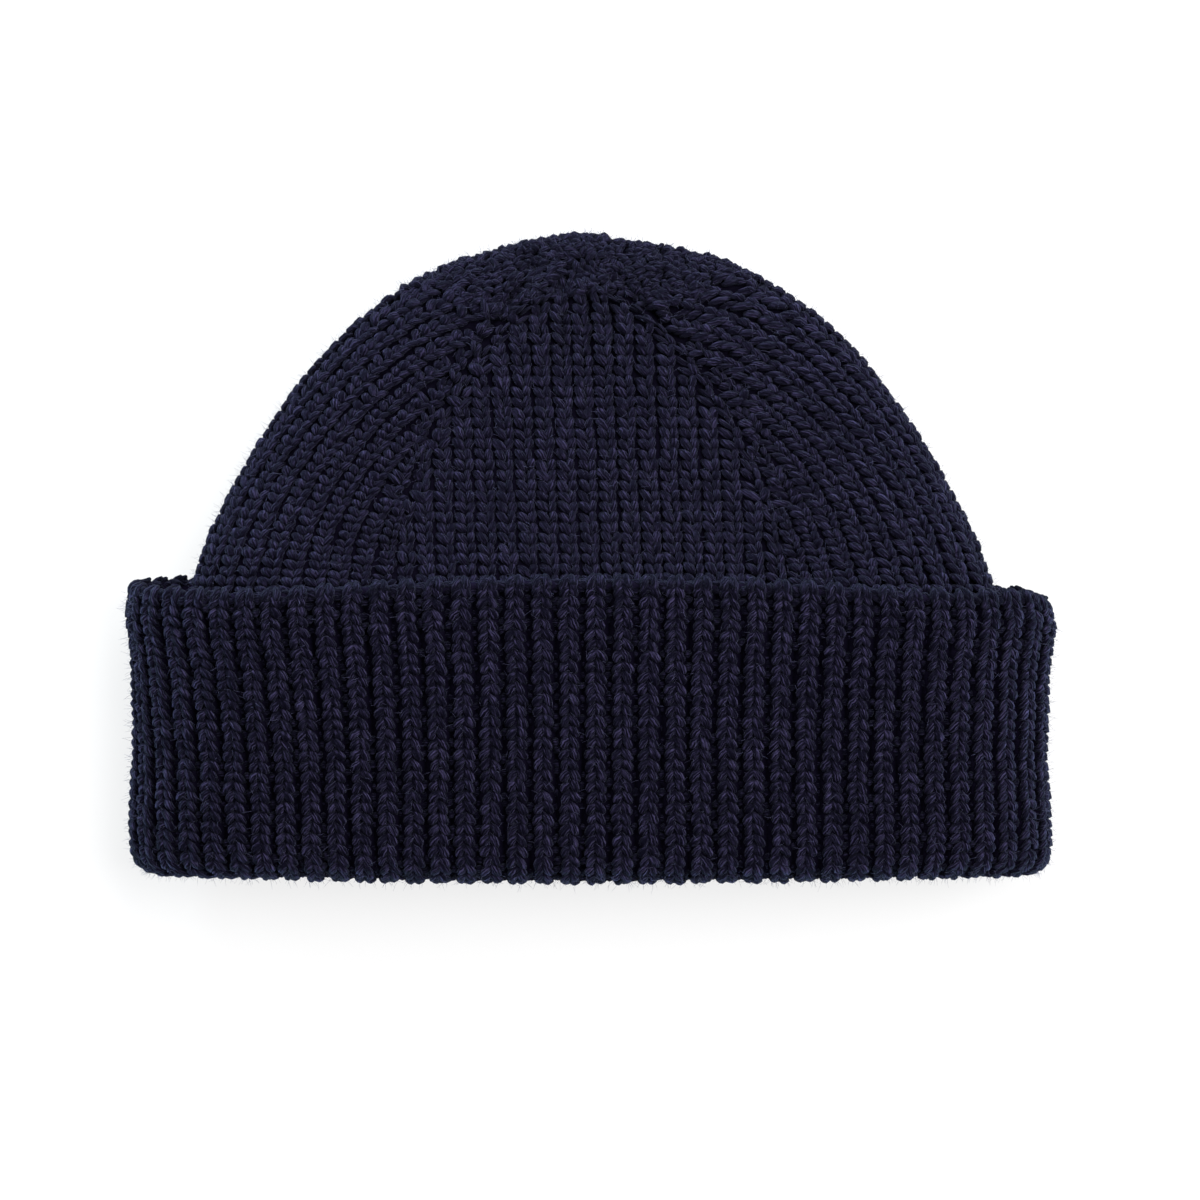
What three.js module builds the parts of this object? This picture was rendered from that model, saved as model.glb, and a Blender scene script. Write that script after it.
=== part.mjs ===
// A knit beanie with a turned-up rib cuff, lying flat on its back, in millimetres.
// X runs across the cap, Y from the mouth to the tip, and Z up from the surface it lies on.
// The crown is four gores of plain knit that meet in a gathered closure near the tip.

import * as THREE from 'three';

// Driving dimensions of the cuff
const cuffWidth = 238.6; // side to side, half way up
const cuffDepth = 74.4; // bottom fold to rim, at the sides
const rimThickness = 40; // the whole cuff as it lies, at the rim
const mouthThickness = 35; // the same at the bottom fold
const ribWall = 4.5;
const layerGap = 1; // between the turned-up layer and the layer under it
const ribDepth = 2.2;
const ribCrest = 0.46; // width of a rib's flat crest as a share of the rib
const ribCount = 76;
const ribShift = 1.3; // how far the middle rib lies off the middle
const rimRelief = 0.6; // how deep the ribs still are at the rim, as a share
const rimFlare = 1.7; // how far each side leans out just under the rim
const foldFlare = 0.7; // the same just above the bottom fold
const rimBow = 3.6; // how far the rim arches up in the middle
const rimBowHalf = 84; // half the width of that arch
const foldBow = 2.2; // how far the bottom fold bulges down in the middle
const backRimRiseLeft = 2.8; // how far the back rim shows above the front one
const backRimRiseRight = 1;
const rimDip = 2.6; // how far the rim drops round the two side folds
const foldLiftLeft = 3; // how far the bottom fold rises at each corner
const foldLiftRight = 0.8;
const cornerReach = 9; // how far in from a side fold its corners start
const cuffTopEnd = 45; // length over which the upper side rounds off to a side fold
const cuffBottomEnd = 30;

// Driving dimensions of the crown
const crownInset = 15.2; // the crown's side inside the cuff's side, at the rim
const crownHeight = 93.3; // rim to tip
const crownWall = 3.5;
const tipThickness = 14; // the crown as it lies, near the tip
const joinDepth = 13.5; // how far the crown reaches down behind the rim
const jointGap = 0.3; // between the crown's base and the cuff's inner layer
const restStart = 5; // where the crown's underside starts to sink past the rim
const restRun = 28; // length over which it sinks to the surface
const slackPower = 1.25; // how soon the upper side drops from the rim to the tip
const waistPower = 1.6; // how soon the hidden layer narrows from the mouth to the crown
const crownTopEnd = 40; // rounding at the sides, at the rim and at the tip
const crownBottomEnd = 25;
const tipTopEnd = 20;
const tipBottomEnd = 12;
const closureDrop = 9; // the closure lies this far under the tip, on the upper side
const closureOff = 2; // and this far left of the middle
const closurePit = 1.8;
const waleWidth = 5.33; // one column of stitches
const waleDepth = 0.8;
const seamDepth = 1.5; // the creases between gores, near the closure
const walesPerGore = 19;
const courses = 31; // rows of stitches from the rim to the closure
const hiddenCourses = 5; // rows behind the rim
const topCourses = 5; // the last rows, which lie wholly on the upper side
const gatherWiden = 0.17; // how much wider the columns get at the closure
const gatherCourses = 4; // rows over which that widening fades
const narrowing = 0.7; // how soon a gore narrows towards the closure
const leaveShare = 0.36; // half width, as a share, where the side columns leave the outline
const sideStretch = 0.1; // how much the side columns' rows crowd towards the closure

// Mesh fineness
const innerColumns = 56;
const innerRows = [0.985, 0.94, 0.86, 0.74, 0.58, 0.4, 0.2, 0]; // shares of the crown's height
const foldTurns = [0.25, 0.5, 0.75]; // shares of the half turn round the bottom fold
const hiddenRow = 0.55; // share of the hidden layer's height where it has a row of its own
const outlineSteps = 8;
const baseSteps = 4;
const arcSteps = 24;

// The crown's outline seen from above: height above the rim and half width, as shares
const crownOutline = [
  { rise: 0, half: 1 },
  { rise: 0.134, half: 0.966 },
  { rise: 0.245, half: 0.919 },
  { rise: 0.357, half: 0.865 },
  { rise: 0.468, half: 0.801 },
  { rise: 0.579, half: 0.729 },
  { rise: 0.691, half: 0.642 },
  { rise: 0.802, half: 0.528 },
  { rise: 0.858, half: 0.45 },
  { rise: 0.914, half: 0.347 },
  { rise: 0.953, half: 0.237 },
  { rise: 0.982, half: 0.128 },
];

// The outer layer's rows between fold and rim: height as a share of the depth, and how much
// of each flare the sides have there
const cuffRows = [
  { rise: 0, fold: 0.6, rim: 0 },
  { rise: 0.14, fold: 1, rim: 0 },
  { rise: 0.42, fold: 0.1, rim: 0 },
  { rise: 0.72, fold: 0, rim: 0.25 },
  { rise: 0.9, fold: 0, rim: 1 },
  { rise: 1, fold: 0, rim: 0.3 },
];

// Places that follow from the sizes above
const capLength = foldBow + cuffDepth + crownHeight;
const foldY = foldBow - capLength / 2;
const rimY = foldY + cuffDepth;
const tipY = rimY + crownHeight;
const joinY = rimY - joinDepth;
const foldReach = 2 * ribWall + layerGap;
const foldRadius = foldReach / 2;
const innerInset = ribWall + layerGap;
const closureX = -closureOff;
const closureY = tipY - closureDrop;
const crownHalf = cuffWidth / 2 - crownInset;
const mouthHalf = cuffWidth / 2 - innerInset;

const gores = ['front', 'right', 'back', 'left'];

const clamp = THREE.MathUtils.clamp;
const lerp = THREE.MathUtils.lerp;

// Rounding of an edge: 0 on the side fold, 1 from the end of the rounding inwards
function edgeRound(distance, end) {
  const left = 1 - clamp(distance / end, 0, 1);
  return Math.sqrt(1 - left * left);
}

// How far in from a side fold a run of cloth gets, seen from above
function foldOffset(run, end, height) {
  let offset = 0;
  let rise = 0;
  let length = 0;
  for (let k = 1; k <= arcSteps; k += 1) {
    const angle = (k / arcSteps) * (Math.PI / 2);
    const nextOffset = end * (1 - Math.cos(angle));
    const nextRise = height * Math.sin(angle);
    const step = Math.hypot(nextOffset - offset, nextRise - rise);
    if (length + step >= run) {
      return offset + ((nextOffset - offset) * (run - length)) / step;
    }
    offset = nextOffset;
    rise = nextRise;
    length += step;
  }
  return offset + run - length;
}

// Length of cloth that the rounding at a side fold takes up beyond its width
function foldStretch(end, height) {
  const reach = 2 * (end + height);
  return reach - foldOffset(reach, end, height);
}

// A flattened tube's section, sampled evenly round from the middle of its upper side
function tubeSection({ half, top, bottom, topEnd, bottomEnd }) {
  const edge = (top + bottom) / 2;
  const right = [[0, top]];
  for (let k = arcSteps; k >= 0; k -= 1) {
    const angle = (k / arcSteps) * (Math.PI / 2);
    right.push([half - topEnd * (1 - Math.cos(angle)), edge + (top - edge) * Math.sin(angle)]);
  }
  for (let k = 1; k <= arcSteps; k += 1) {
    const angle = (k / arcSteps) * (Math.PI / 2);
    right.push([half - bottomEnd * (1 - Math.cos(angle)), edge - (edge - bottom) * Math.sin(angle)]);
  }
  right.push([0, bottom]);
  const left = right.slice(1, -1).reverse().map(([x, z]) => [-x, z]);
  const loop = [...right, ...left, right[0]];
  const lengths = [0];
  for (let k = 1; k < loop.length; k += 1) {
    lengths.push(lengths[k - 1] + Math.hypot(loop[k][0] - loop[k - 1][0], loop[k][1] - loop[k - 1][1]));
  }
  const total = lengths[lengths.length - 1];
  return (share) => {
    const run = (((share % 1) + 1) % 1) * total;
    let k = 1;
    while (lengths[k] < run) {
      k += 1;
    }
    const part = (run - lengths[k - 1]) / (lengths[k] - lengths[k - 1]);
    const [x0, z0] = loop[k - 1];
    const [x1, z1] = loop[k];
    const step = Math.hypot(x1 - x0, z1 - z0);
    return {
      x: lerp(x0, x1, part),
      z: lerp(z0, z1, part),
      nx: -(z1 - z0) / step,
      nz: (x1 - x0) / step,
    };
  };
}

// A closed skin made of rings of points, joined in order
class Skin {
  constructor() {
    this.points = [];
    this.faces = [];
  }

  ring(points) {
    const first = this.points.length;
    this.points.push(...points);
    return points.map((_, k) => first + k);
  }

  // Joins two rings whose points lie at even shares of the way round, though not as many
  join(lower, upper) {
    let i = 0;
    let j = 0;
    while (i < lower.length || j < upper.length) {
      const a = lower[i % lower.length];
      const b = upper[j % upper.length];
      if ((i + 1) / lower.length <= (j + 1) / upper.length) {
        this.faces.push(a, lower[(i + 1) % lower.length], b);
        i += 1;
      } else {
        this.faces.push(a, upper[(j + 1) % upper.length], b);
        j += 1;
      }
    }
  }

  // Joins two rows of a crown, each gore's columns to the same columns above, and those that
  // the row above no longer has to its gore's corner
  joinGores(lower, upper) {
    const across = lower.length / gores.length;
    const above = upper.length / gores.length;
    const corner = (column, gore) => {
      const kept = clamp(column - across / 2, -above / 2, above / 2) + above / 2;
      return upper[(gore * above + kept) % upper.length];
    };
    gores.forEach((_, gore) => {
      for (let column = 0; column < across; column += 1) {
        const a = lower[gore * across + column];
        const next = lower[(gore * across + column + 1) % lower.length];
        const b = corner(column, gore);
        const nextB = corner(column + 1, gore);
        this.faces.push(a, next, b);
        if (b !== nextB) {
          this.faces.push(next, nextB, b);
        }
      }
    });
  }

  closeTop(ring, point) {
    const [tip] = this.ring([point]);
    ring.forEach((a, k) => this.faces.push(a, ring[(k + 1) % ring.length], tip));
  }

  closeStart(ring, point) {
    const [tip] = this.ring([point]);
    ring.forEach((a, k) => this.faces.push(a, tip, ring[(k + 1) % ring.length]));
  }

  geometry() {
    const geometry = new THREE.BufferGeometry();
    const positions = this.points.flatMap((point) => point.toArray());
    geometry.setAttribute('position', new THREE.Float32BufferAttribute(positions, 3));
    geometry.setIndex(this.faces);
    geometry.computeVertexNormals();
    return geometry;
  }
}

// How far a point of the rim stands above the rim's level at the sides
function rimShape(x, nz, half) {
  const arch = rimBow * Math.max(0, 1 - (x / rimBowHalf) ** 2);
  const back = lerp(backRimRiseLeft, backRimRiseRight, x / (2 * half) + 0.5) * (0.5 - nz / 2);
  const dip = rimDip * clamp(1 - (half - Math.abs(x)) / cornerReach, 0, 1) ** 2;
  return arch + back - dip;
}

// How far a point of the bottom fold stands above the fold's level at the sides
function foldShape(x, half) {
  const bulge = foldBow * (1 - (x / half) ** 2);
  const lift = x < 0 ? foldLiftLeft : foldLiftRight;
  return lift * clamp(1 - (half - Math.abs(x)) / cornerReach, 0, 1) ** 2 - bulge;
}

// Columns round a rib ring: shares of the way round, and how deep each one lies
function ribColumns(kind) {
  const offsets = {
    full: [[-0.5, 1], [-ribCrest / 2, 0], [ribCrest / 2, 0]],
    zigzag: [[-0.5, 1], [0, 0]],
    plain: [[0, 0]],
  }[kind];
  const columns = [];
  for (let rib = 0; rib < ribCount; rib += 1) {
    for (const [offset, depth] of offsets) {
      columns.push({ share: (rib + offset) / ribCount + ribShift / (2 * cuffWidth), depth });
    }
  }
  return columns;
}

// One ring of the cuff, inset from its outermost surface, at a height between fold and rim.
// The shares say how much it follows the shapes of the bottom fold and the rim.
function cuffRing({ inset, y, half, kind, depth, inward, foldShare, rimShare }) {
  const rise = clamp((y - foldY) / cuffDepth, 0, 1);
  const top = lerp(mouthThickness, rimThickness, rise);
  const at = tubeSection({
    half: half - inset,
    top: top - inset,
    bottom: inset,
    topEnd: cuffTopEnd - inset,
    bottomEnd: cuffBottomEnd - inset,
  });
  const depthSign = inward ? 1 : -1;
  return ribColumns(kind).map((column) => {
    const { x, z, nx, nz } = at(column.share);
    const cut = depthSign * depth * column.depth;
    const shift = foldShare * foldShape(x, half) + rimShare * rimShape(x, nz, half);
    return new THREE.Vector3(x + nx * cut, y + shift, z + nz * cut);
  });
}

function cuffHalf(rise) {
  const next = cuffRows.find((row, k) => k > 0 && row.rise >= rise);
  const last = cuffRows[cuffRows.indexOf(next) - 1];
  const part = (rise - last.rise) / (next.rise - last.rise);
  const flare = foldFlare * lerp(last.fold, next.fold, part) + rimFlare * lerp(last.rim, next.rim, part);
  return cuffWidth / 2 + flare;
}

// Half width of the layer under the cuff, from the mouth up to the crown's own outline
function innerHalf(y) {
  const part = clamp((rimY - y) / (rimY - foldY - foldRadius), 0, 1);
  return lerp(crownHalf, mouthHalf, 1 - (1 - part) ** waistPower);
}

// The rib cuff: inner layer, bottom fold and turned-up outer layer, one closed wall
function makeCuff() {
  const skin = new Skin();
  const joinRise = (joinY - foldY) / cuffDepth;
  const outer = (y, inset, kind, depth) => {
    const rise = clamp((y - foldY) / cuffDepth, 0, 1);
    return skin.ring(cuffRing({
      inset, y, half: cuffHalf(rise), kind, depth, inward: false, foldShare: 1 - rise, rimShare: rise,
    }));
  };
  const inner = (y, inset, kind, depth) => {
    const rise = clamp((y - foldY) / cuffDepth, 0, 1);
    return skin.ring(cuffRing({
      inset, y, half: innerHalf(y) + innerInset, kind, depth, inward: true,
      foldShare: clamp(1 - rise / joinRise, 0, 1), rimShare: 0,
    }));
  };
  const rings = [];
  // Round the bottom fold, from the inner face to the outer one
  rings.push(inner(foldY + foldRadius, foldReach, 'zigzag', ribDepth));
  for (const turn of foldTurns) {
    const angle = turn * Math.PI;
    const y = foldY + foldRadius * (1 - Math.sin(angle));
    const inset = foldRadius * (1 + Math.cos(angle));
    const outside = turn >= 0.5;
    rings.push(outer(y, inset, outside ? 'full' : 'zigzag', outside ? ribDepth * Math.sin(angle / 2) : 0));
  }
  rings.push(outer(foldY + foldRadius, 0, 'full', ribDepth));
  for (const row of cuffRows.slice(2, -1)) {
    rings.push(outer(foldY + row.rise * cuffDepth, 0, 'full', ribDepth));
  }
  // Round the rim, where the ribs are flatter
  const rimRadius = ribWall / 2;
  const shoulder = rimRadius * (1 - Math.SQRT1_2);
  rings.push(outer(rimY - rimRadius, 0, 'full', ribDepth * rimRelief));
  rings.push(outer(rimY - shoulder, shoulder, 'full', ribDepth * rimRelief * Math.SQRT1_2));
  rings.push(outer(rimY, rimRadius, 'zigzag', 0));
  rings.push(outer(rimY - rimRadius, ribWall, 'plain', 0));
  // Down the slot between the layers and up again
  rings.push(outer(lerp(foldY, rimY, 0.5), ribWall, 'plain', 0));
  rings.push(outer(foldY + foldReach, ribWall, 'plain', 0));
  rings.push(inner(foldY + foldReach, innerInset, 'plain', 0));
  rings.push(inner(lerp(foldY, joinY, hiddenRow), innerInset, 'plain', 0));
  rings.push(inner(joinY - jointGap, innerInset, 'plain', 0));
  // The end that meets the crown, then the inner face back to the mouth
  rings.push(inner(joinY - jointGap, foldReach, 'zigzag', ribDepth));
  rings.push(inner(lerp(foldY, joinY, hiddenRow), foldReach, 'zigzag', ribDepth));
  rings.forEach((ring, k) => skin.join(ring, rings[(k + 1) % rings.length]));
  return skin.geometry();
}

// The crown's outline from one side of its base over the tip to the other
function makeOutline() {
  const mirror = (points) => points.map((point) => new THREE.Vector3(-point.x, point.y, 0)).reverse();
  const left = crownOutline.map(({ rise, half }) => (
    new THREE.Vector3(-half * crownHalf, rimY + rise * crownHeight, 0)
  ));
  const tip = new THREE.Vector3(0, tipY, 0);
  const curve = new THREE.CatmullRomCurve3([...left, tip, ...mirror(left)], false, 'centripetal');
  const points = curve.getPoints(outlineSteps * (curve.points.length - 1));
  const base = [];
  for (let k = baseSteps; k >= 1; k -= 1) {
    const y = lerp(rimY, joinY, k / (baseSteps - 1));
    base.push(new THREE.Vector3(-innerHalf(y), y, 0));
  }
  return [...base, ...points, ...mirror(base)];
}

const outline = makeOutline();

// Distance in from the outline, and the way there
function outlineDistance(x, y) {
  let best = Infinity;
  let away = [0, 0];
  for (let k = 1; k < outline.length; k += 1) {
    const from = outline[k - 1];
    const dx = outline[k].x - from.x;
    const dy = outline[k].y - from.y;
    const part = clamp(((x - from.x) * dx + (y - from.y) * dy) / (dx * dx + dy * dy), 0, 1);
    const gapX = x - from.x - part * dx;
    const gapY = y - from.y - part * dy;
    const distance = Math.hypot(gapX, gapY);
    if (distance < best) {
      best = distance;
      away = distance > 1e-6 ? [-gapX / distance, -gapY / distance] : [-dy, dx];
    }
  }
  const length = Math.hypot(...away);
  return { distance: best, out: away.map((value) => value / length) };
}

// Heights of the crown's upper side and underside along its length
function crownLevels(y) {
  const rise = clamp((y - rimY) / crownHeight, 0, 1);
  const cuffRise = clamp((y - foldY) / cuffDepth, 0, 1);
  const base = lerp(mouthThickness, rimThickness, cuffRise) - innerInset;
  const top = lerp(base, tipThickness, 1 - (1 - rise) ** slackPower);
  const sink = THREE.MathUtils.smoothstep(y, rimY + restStart, rimY + restStart + restRun);
  const bottom = innerInset * (1 - sink);
  return {
    top,
    bottom,
    edge: (top + bottom) / 2,
    topEnd: lerp(crownTopEnd, tipTopEnd, rise),
    bottomEnd: lerp(crownBottomEnd, tipBottomEnd, rise),
  };
}

// A point of the crown's outer face above or under a place in plan, pushed out by lift
function crownPoint(x, y, upper, lift) {
  const { distance, out } = outlineDistance(x, y);
  const levels = crownLevels(y);
  const end = upper ? levels.topEnd : levels.bottomEnd;
  const height = upper ? levels.top - levels.edge : levels.edge - levels.bottom;
  const sine = edgeRound(distance, end);
  const cosine = Math.sqrt(1 - sine * sine);
  const normal = new THREE.Vector3(out[0] * height * cosine, out[1] * height * cosine, end * sine);
  if (!upper) {
    normal.z = -normal.z;
  }
  const z = levels.edge + (upper ? height : -height) * sine;
  return new THREE.Vector3(x, y, z).addScaledVector(normal.normalize(), lift);
}

// Stitches in a gore's row; rows are counted down from the closure
function goreStitches(row) {
  const share = Math.sin((Math.PI / 2) * Math.min(1, row / courses));
  return walesPerGore * share ** narrowing;
}

// The row where a gore is down to so many stitches
function rowOf(stitches) {
  return (courses * 2 * Math.asin((stitches / walesPerGore) ** (1 / narrowing))) / Math.PI;
}

// The rows that the crown's mesh has: two behind and at the rim, one past it, and then one at
// each pair of stitches that the gores lose
function makeCrownRows() {
  const rows = [courses + hiddenCourses, courses, (courses + rowOf(walesPerGore - 2)) / 2];
  for (let stitches = walesPerGore - 2; stitches > 1; stitches -= 2) {
    rows.push(rowOf(stitches));
  }
  return rows;
}

function goreHalf(row) {
  return (goreStitches(row) * waleWidth * (1 + gatherWiden * Math.exp(-row / gatherCourses))) / 2;
}

// The way a side gore's middle column takes: up the outline, then over to the closure
function makeSideWay(sign) {
  const leave = crownHalf * leaveShare;
  const way = outline.filter((point) => point.x * sign >= leave && point.y >= rimY - 1e-6);
  const ordered = sign < 0 ? way : way.slice().reverse();
  return [...ordered, new THREE.Vector3(closureX, closureY, 0)];
}

const sideWays = { left: makeSideWay(-1), right: makeSideWay(1) };

function sidePoint(side, row) {
  if (row >= courses) {
    const y = frontRowY(row);
    return [side === 'left' ? -innerHalf(y) : innerHalf(y), y];
  }
  const way = sideWays[side];
  const lengths = [0];
  for (let k = 1; k < way.length; k += 1) {
    lengths.push(lengths[k - 1] + way[k].distanceTo(way[k - 1]));
  }
  const risen = 1 - row / courses;
  const run = lengths[way.length - 1] * risen * (1 - sideStretch * (1 - risen ** 4));
  const k = Math.max(1, lengths.findIndex((length) => length >= run));
  const part = (run - lengths[k - 1]) / (lengths[k] - lengths[k - 1]);
  return [lerp(way[k - 1].x, way[k].x, part), lerp(way[k - 1].y, way[k].y, part)];
}

// The highest place of the outline above a given x
function outlineTop(x) {
  let best = rimY;
  for (let k = 1; k < outline.length; k += 1) {
    const low = Math.min(outline[k - 1].x, outline[k].x);
    const high = Math.max(outline[k - 1].x, outline[k].x);
    if (x >= low && x <= high && high > low) {
      const part = (x - outline[k - 1].x) / (outline[k].x - outline[k - 1].x);
      best = Math.max(best, lerp(outline[k - 1].y, outline[k].y, part));
    }
  }
  return best;
}

function frontRowY(row) {
  if (row >= courses) {
    return lerp(rimY, joinY, (row - courses) / hiddenCourses);
  }
  return lerp(closureY, rimY, row / courses);
}

function backRowY(row, x) {
  if (row >= courses) {
    return frontRowY(row);
  }
  const down = (row - topCourses) / (courses - topCourses);
  const follow = Math.exp(-(row - topCourses) / gatherCourses);
  return lerp(tipY, rimY, down) - follow * (tipY - outlineTop(x));
}

// Where a stitch column of a gore lies in plan in a row below the topmost ones
function gorePlace(gore, across, row) {
  const reach = goreHalf(row);
  const middle = closureX * Math.max(0, 1 - row / courses);
  if (gore === 'front') {
    return [middle + across * 2 * reach, frontRowY(row), true];
  }
  if (gore === 'back') {
    const x = -across * 2 * reach;
    return [x, backRowY(row, x), false];
  }
  const toFront = gore === 'right' ? across < 0 : across > 0;
  const sign = gore === 'right' ? 1 : -1;
  const [edgeX, edgeY] = sidePoint(gore, row);
  const inX = (toFront ? middle : 0) + sign * reach;
  const inY = toFront ? frontRowY(row) : backRowY(row, sign * reach);
  const width = Math.hypot(inX - edgeX, inY - edgeY);
  const levels = crownLevels(edgeY);
  const end = Math.min(width, toFront ? levels.topEnd : levels.bottomEnd);
  const height = (levels.top - levels.bottom) / 2;
  const run = 2 * Math.abs(across) * (width + foldStretch(end, height));
  const part = Math.min(1, foldOffset(run, end, height) / width);
  return [lerp(edgeX, inX, part), lerp(edgeY, inY, part), toFront];
}

// The topmost rows are the same loop drawn in towards the closure, all on the upper side
function stitchPlace(gore, across, row) {
  if (row >= topCourses) {
    return gorePlace(gore, across, row);
  }
  const [x, y] = gorePlace(gore, across, topCourses);
  const part = row / topCourses;
  return [lerp(closureX, x, part), lerp(closureY, y, part), true];
}

// One ring of the crown's outer face: two points a column, on the column and between columns
function crownRing(row) {
  const stitches = 2 * Math.round((goreStitches(row) - 1) / 2) + 1;
  const near = Math.exp(-row / topCourses);
  const points = [];
  for (const gore of gores) {
    for (let k = 0; k < 2 * stitches; k += 1) {
      const across = k / (2 * stitches) - 0.5;
      const valley = k % 2 === 0 ? waleDepth * (1 + near / 2) : 0;
      const seam = k === 0 ? seamDepth * Math.min(1, 2 * near) : 0;
      const [x, y, upper] = stitchPlace(gore, across, row);
      points.push(crownPoint(x, y, upper, -valley - seam));
    }
  }
  return points;
}

// One ring of the crown's inner face, square to the length of the cap
function crownHollowRing(y) {
  const levels = crownLevels(y);
  const innerTip = tipY - crownWall;
  const close = edgeRound(innerTip - y, levels.topEnd - crownWall);
  const rise = clamp((y - rimY) / (innerTip - rimY), 0, 1);
  const half = rise > 0 ? outlineHalf(rise) * (crownHalf - crownWall) : innerHalf(y) - crownWall;
  const top = lerp(levels.edge, levels.top - crownWall, close);
  const bottom = lerp(levels.edge, levels.bottom + crownWall, close);
  const at = tubeSection({
    half,
    top,
    bottom,
    topEnd: Math.min(half, levels.topEnd - crownWall),
    bottomEnd: Math.min(half, levels.bottomEnd - crownWall),
  });
  const points = [];
  for (let k = 0; k < innerColumns; k += 1) {
    const { x, z } = at(k / innerColumns - 1 / (2 * gores.length));
    points.push(new THREE.Vector3(x, y, z));
  }
  return points;
}

// Half width of the outline, as a share, at a share of the height
function outlineHalf(rise) {
  const level = rimY + rise * crownHeight;
  const right = outline.filter((point) => point.x >= 0 && point.y >= rimY - 1e-6);
  let k = 1;
  while (k < right.length - 1 && right[k].y > level) {
    k += 1;
  }
  const part = clamp((level - right[k].y) / (right[k - 1].y - right[k].y), 0, 1);
  return lerp(right[k].x, right[k - 1].x, part) / crownHalf;
}

// The crown: a thin dome of four gores, open at its base
function makeCrown() {
  const skin = new Skin();
  const rows = makeCrownRows().map((row) => skin.ring(crownRing(row)));
  for (let k = 1; k < rows.length; k += 1) {
    skin.joinGores(rows[k - 1], rows[k]);
  }
  skin.closeTop(rows[rows.length - 1], crownPoint(closureX, closureY, true, -closurePit));
  const heights = innerRows.map((share) => lerp(rimY, tipY - crownWall, share));
  const hollow = [...heights, joinY].map((y) => skin.ring(crownHollowRing(y)));
  const innerTip = tipY - crownWall;
  skin.closeStart(hollow[0], new THREE.Vector3(0, innerTip, crownLevels(innerTip).edge));
  for (let k = 1; k < hollow.length; k += 1) {
    skin.join(hollow[k - 1], hollow[k]);
  }
  skin.join(hollow[hollow.length - 1], rows[0]);
  return skin.geometry();
}

const navyKnit = new THREE.MeshStandardMaterial({ color: 0x1a1a29, roughness: 0.95, metalness: 0 });
const navyRib = new THREE.MeshStandardMaterial({ color: 0x151521, roughness: 0.95, metalness: 0 });

const beanie = new THREE.Group();

const crown = new THREE.Mesh(makeCrown(), navyKnit);
crown.name = 'crown';
beanie.add(crown);

const cuff = new THREE.Mesh(makeCuff(), navyRib);
cuff.name = 'cuff';
beanie.add(cuff);

export default beanie;
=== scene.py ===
# A navy knit beanie with a turned-up rib cuff, lying on a pale table and seen from straight above.
# Sizes are in millimetres until a mesh is made, and each stitch is real yarn on a wall of knit coloured dark
# as painted shade.

import math

import bpy
import numpy as np
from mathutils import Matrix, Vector


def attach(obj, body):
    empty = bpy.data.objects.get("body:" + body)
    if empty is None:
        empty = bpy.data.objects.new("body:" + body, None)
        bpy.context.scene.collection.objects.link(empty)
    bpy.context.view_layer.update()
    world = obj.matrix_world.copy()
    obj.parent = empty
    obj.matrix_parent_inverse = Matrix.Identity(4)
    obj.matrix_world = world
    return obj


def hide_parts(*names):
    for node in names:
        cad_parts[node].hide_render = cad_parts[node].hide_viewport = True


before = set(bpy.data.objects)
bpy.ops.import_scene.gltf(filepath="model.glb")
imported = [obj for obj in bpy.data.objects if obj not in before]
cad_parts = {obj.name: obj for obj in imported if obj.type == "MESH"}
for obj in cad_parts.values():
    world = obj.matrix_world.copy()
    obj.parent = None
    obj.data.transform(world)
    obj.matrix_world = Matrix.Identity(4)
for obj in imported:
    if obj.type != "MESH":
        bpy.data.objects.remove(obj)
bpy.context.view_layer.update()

MM = 0.001

# The cuff, with the same sizes as its solid
CUFF_WIDTH = 238.6
CUFF_DEPTH = 74.4
RIM_THICKNESS = 40
MOUTH_THICKNESS = 35
RIB_WALL = 4.5
LAYER_GAP = 1
RIB_COUNT = 76
RIB_SHIFT = 1.3
RIM_FLARE = 2.3
FOLD_FLARE = 1.3
RIM_BOW = 3.6
RIM_BOW_HALF = 84
FOLD_BOW = 2.2
BACK_RIM_RISE_LEFT = 4.2
BACK_RIM_RISE_RIGHT = 1
RIM_DIP_LEFT = -0.4
RIM_DIP_RIGHT = 3.4
FOLD_LIFT_LEFT = 3
FOLD_LIFT_RIGHT = 0.8
CORNER_REACH = 9
CUFF_TOP_END = 45
CUFF_BOTTOM_END = 30

# The crown, with the same sizes as its solid
CROWN_INSET = 15.2
CROWN_HEIGHT = 93.3
CROWN_WALL = 3.5
TIP_THICKNESS = 14
JOIN_DEPTH = 13.5
REST_START = 5
REST_RUN = 28
SLACK_POWER = 1.25
WAIST_POWER = 1.6
CROWN_TOP_END = 40
CROWN_BOTTOM_END = 25
TIP_TOP_END = 20
TIP_BOTTOM_END = 12
CLOSURE_DROP = 9
CLOSURE_OFF = 3.3
WALE_WIDTH = 5.33
WALES_PER_GORE = 19
COURSES = 31
HIDDEN_COURSES = 5
TOP_COURSES = 5
GATHER_WIDEN = 0.17
GATHER_COURSES = 4
NARROWING = 0.7
LEAVE_SHARE = 0.36
SIDE_STRETCH = 0.1

# The crown's outline seen from above: height over the rim and half width, as shares
CROWN_OUTLINE = [
    (0, 1), (0.134, 0.966), (0.245, 0.919), (0.357, 0.865), (0.468, 0.801), (0.579, 0.729),
    (0.691, 0.642), (0.802, 0.528), (0.858, 0.45), (0.914, 0.347), (0.953, 0.237), (0.982, 0.128),
]

# How much of each flare the cuff's sides have at a height between fold and rim
CUFF_RISES = [0, 0.14, 0.42, 0.72, 0.9, 1]
FOLD_FLARES = [0.6, 1, 0.1, 0, 0, 0]
RIM_FLARES = [0, 0, 0, 0.25, 1, 0.3]

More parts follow.
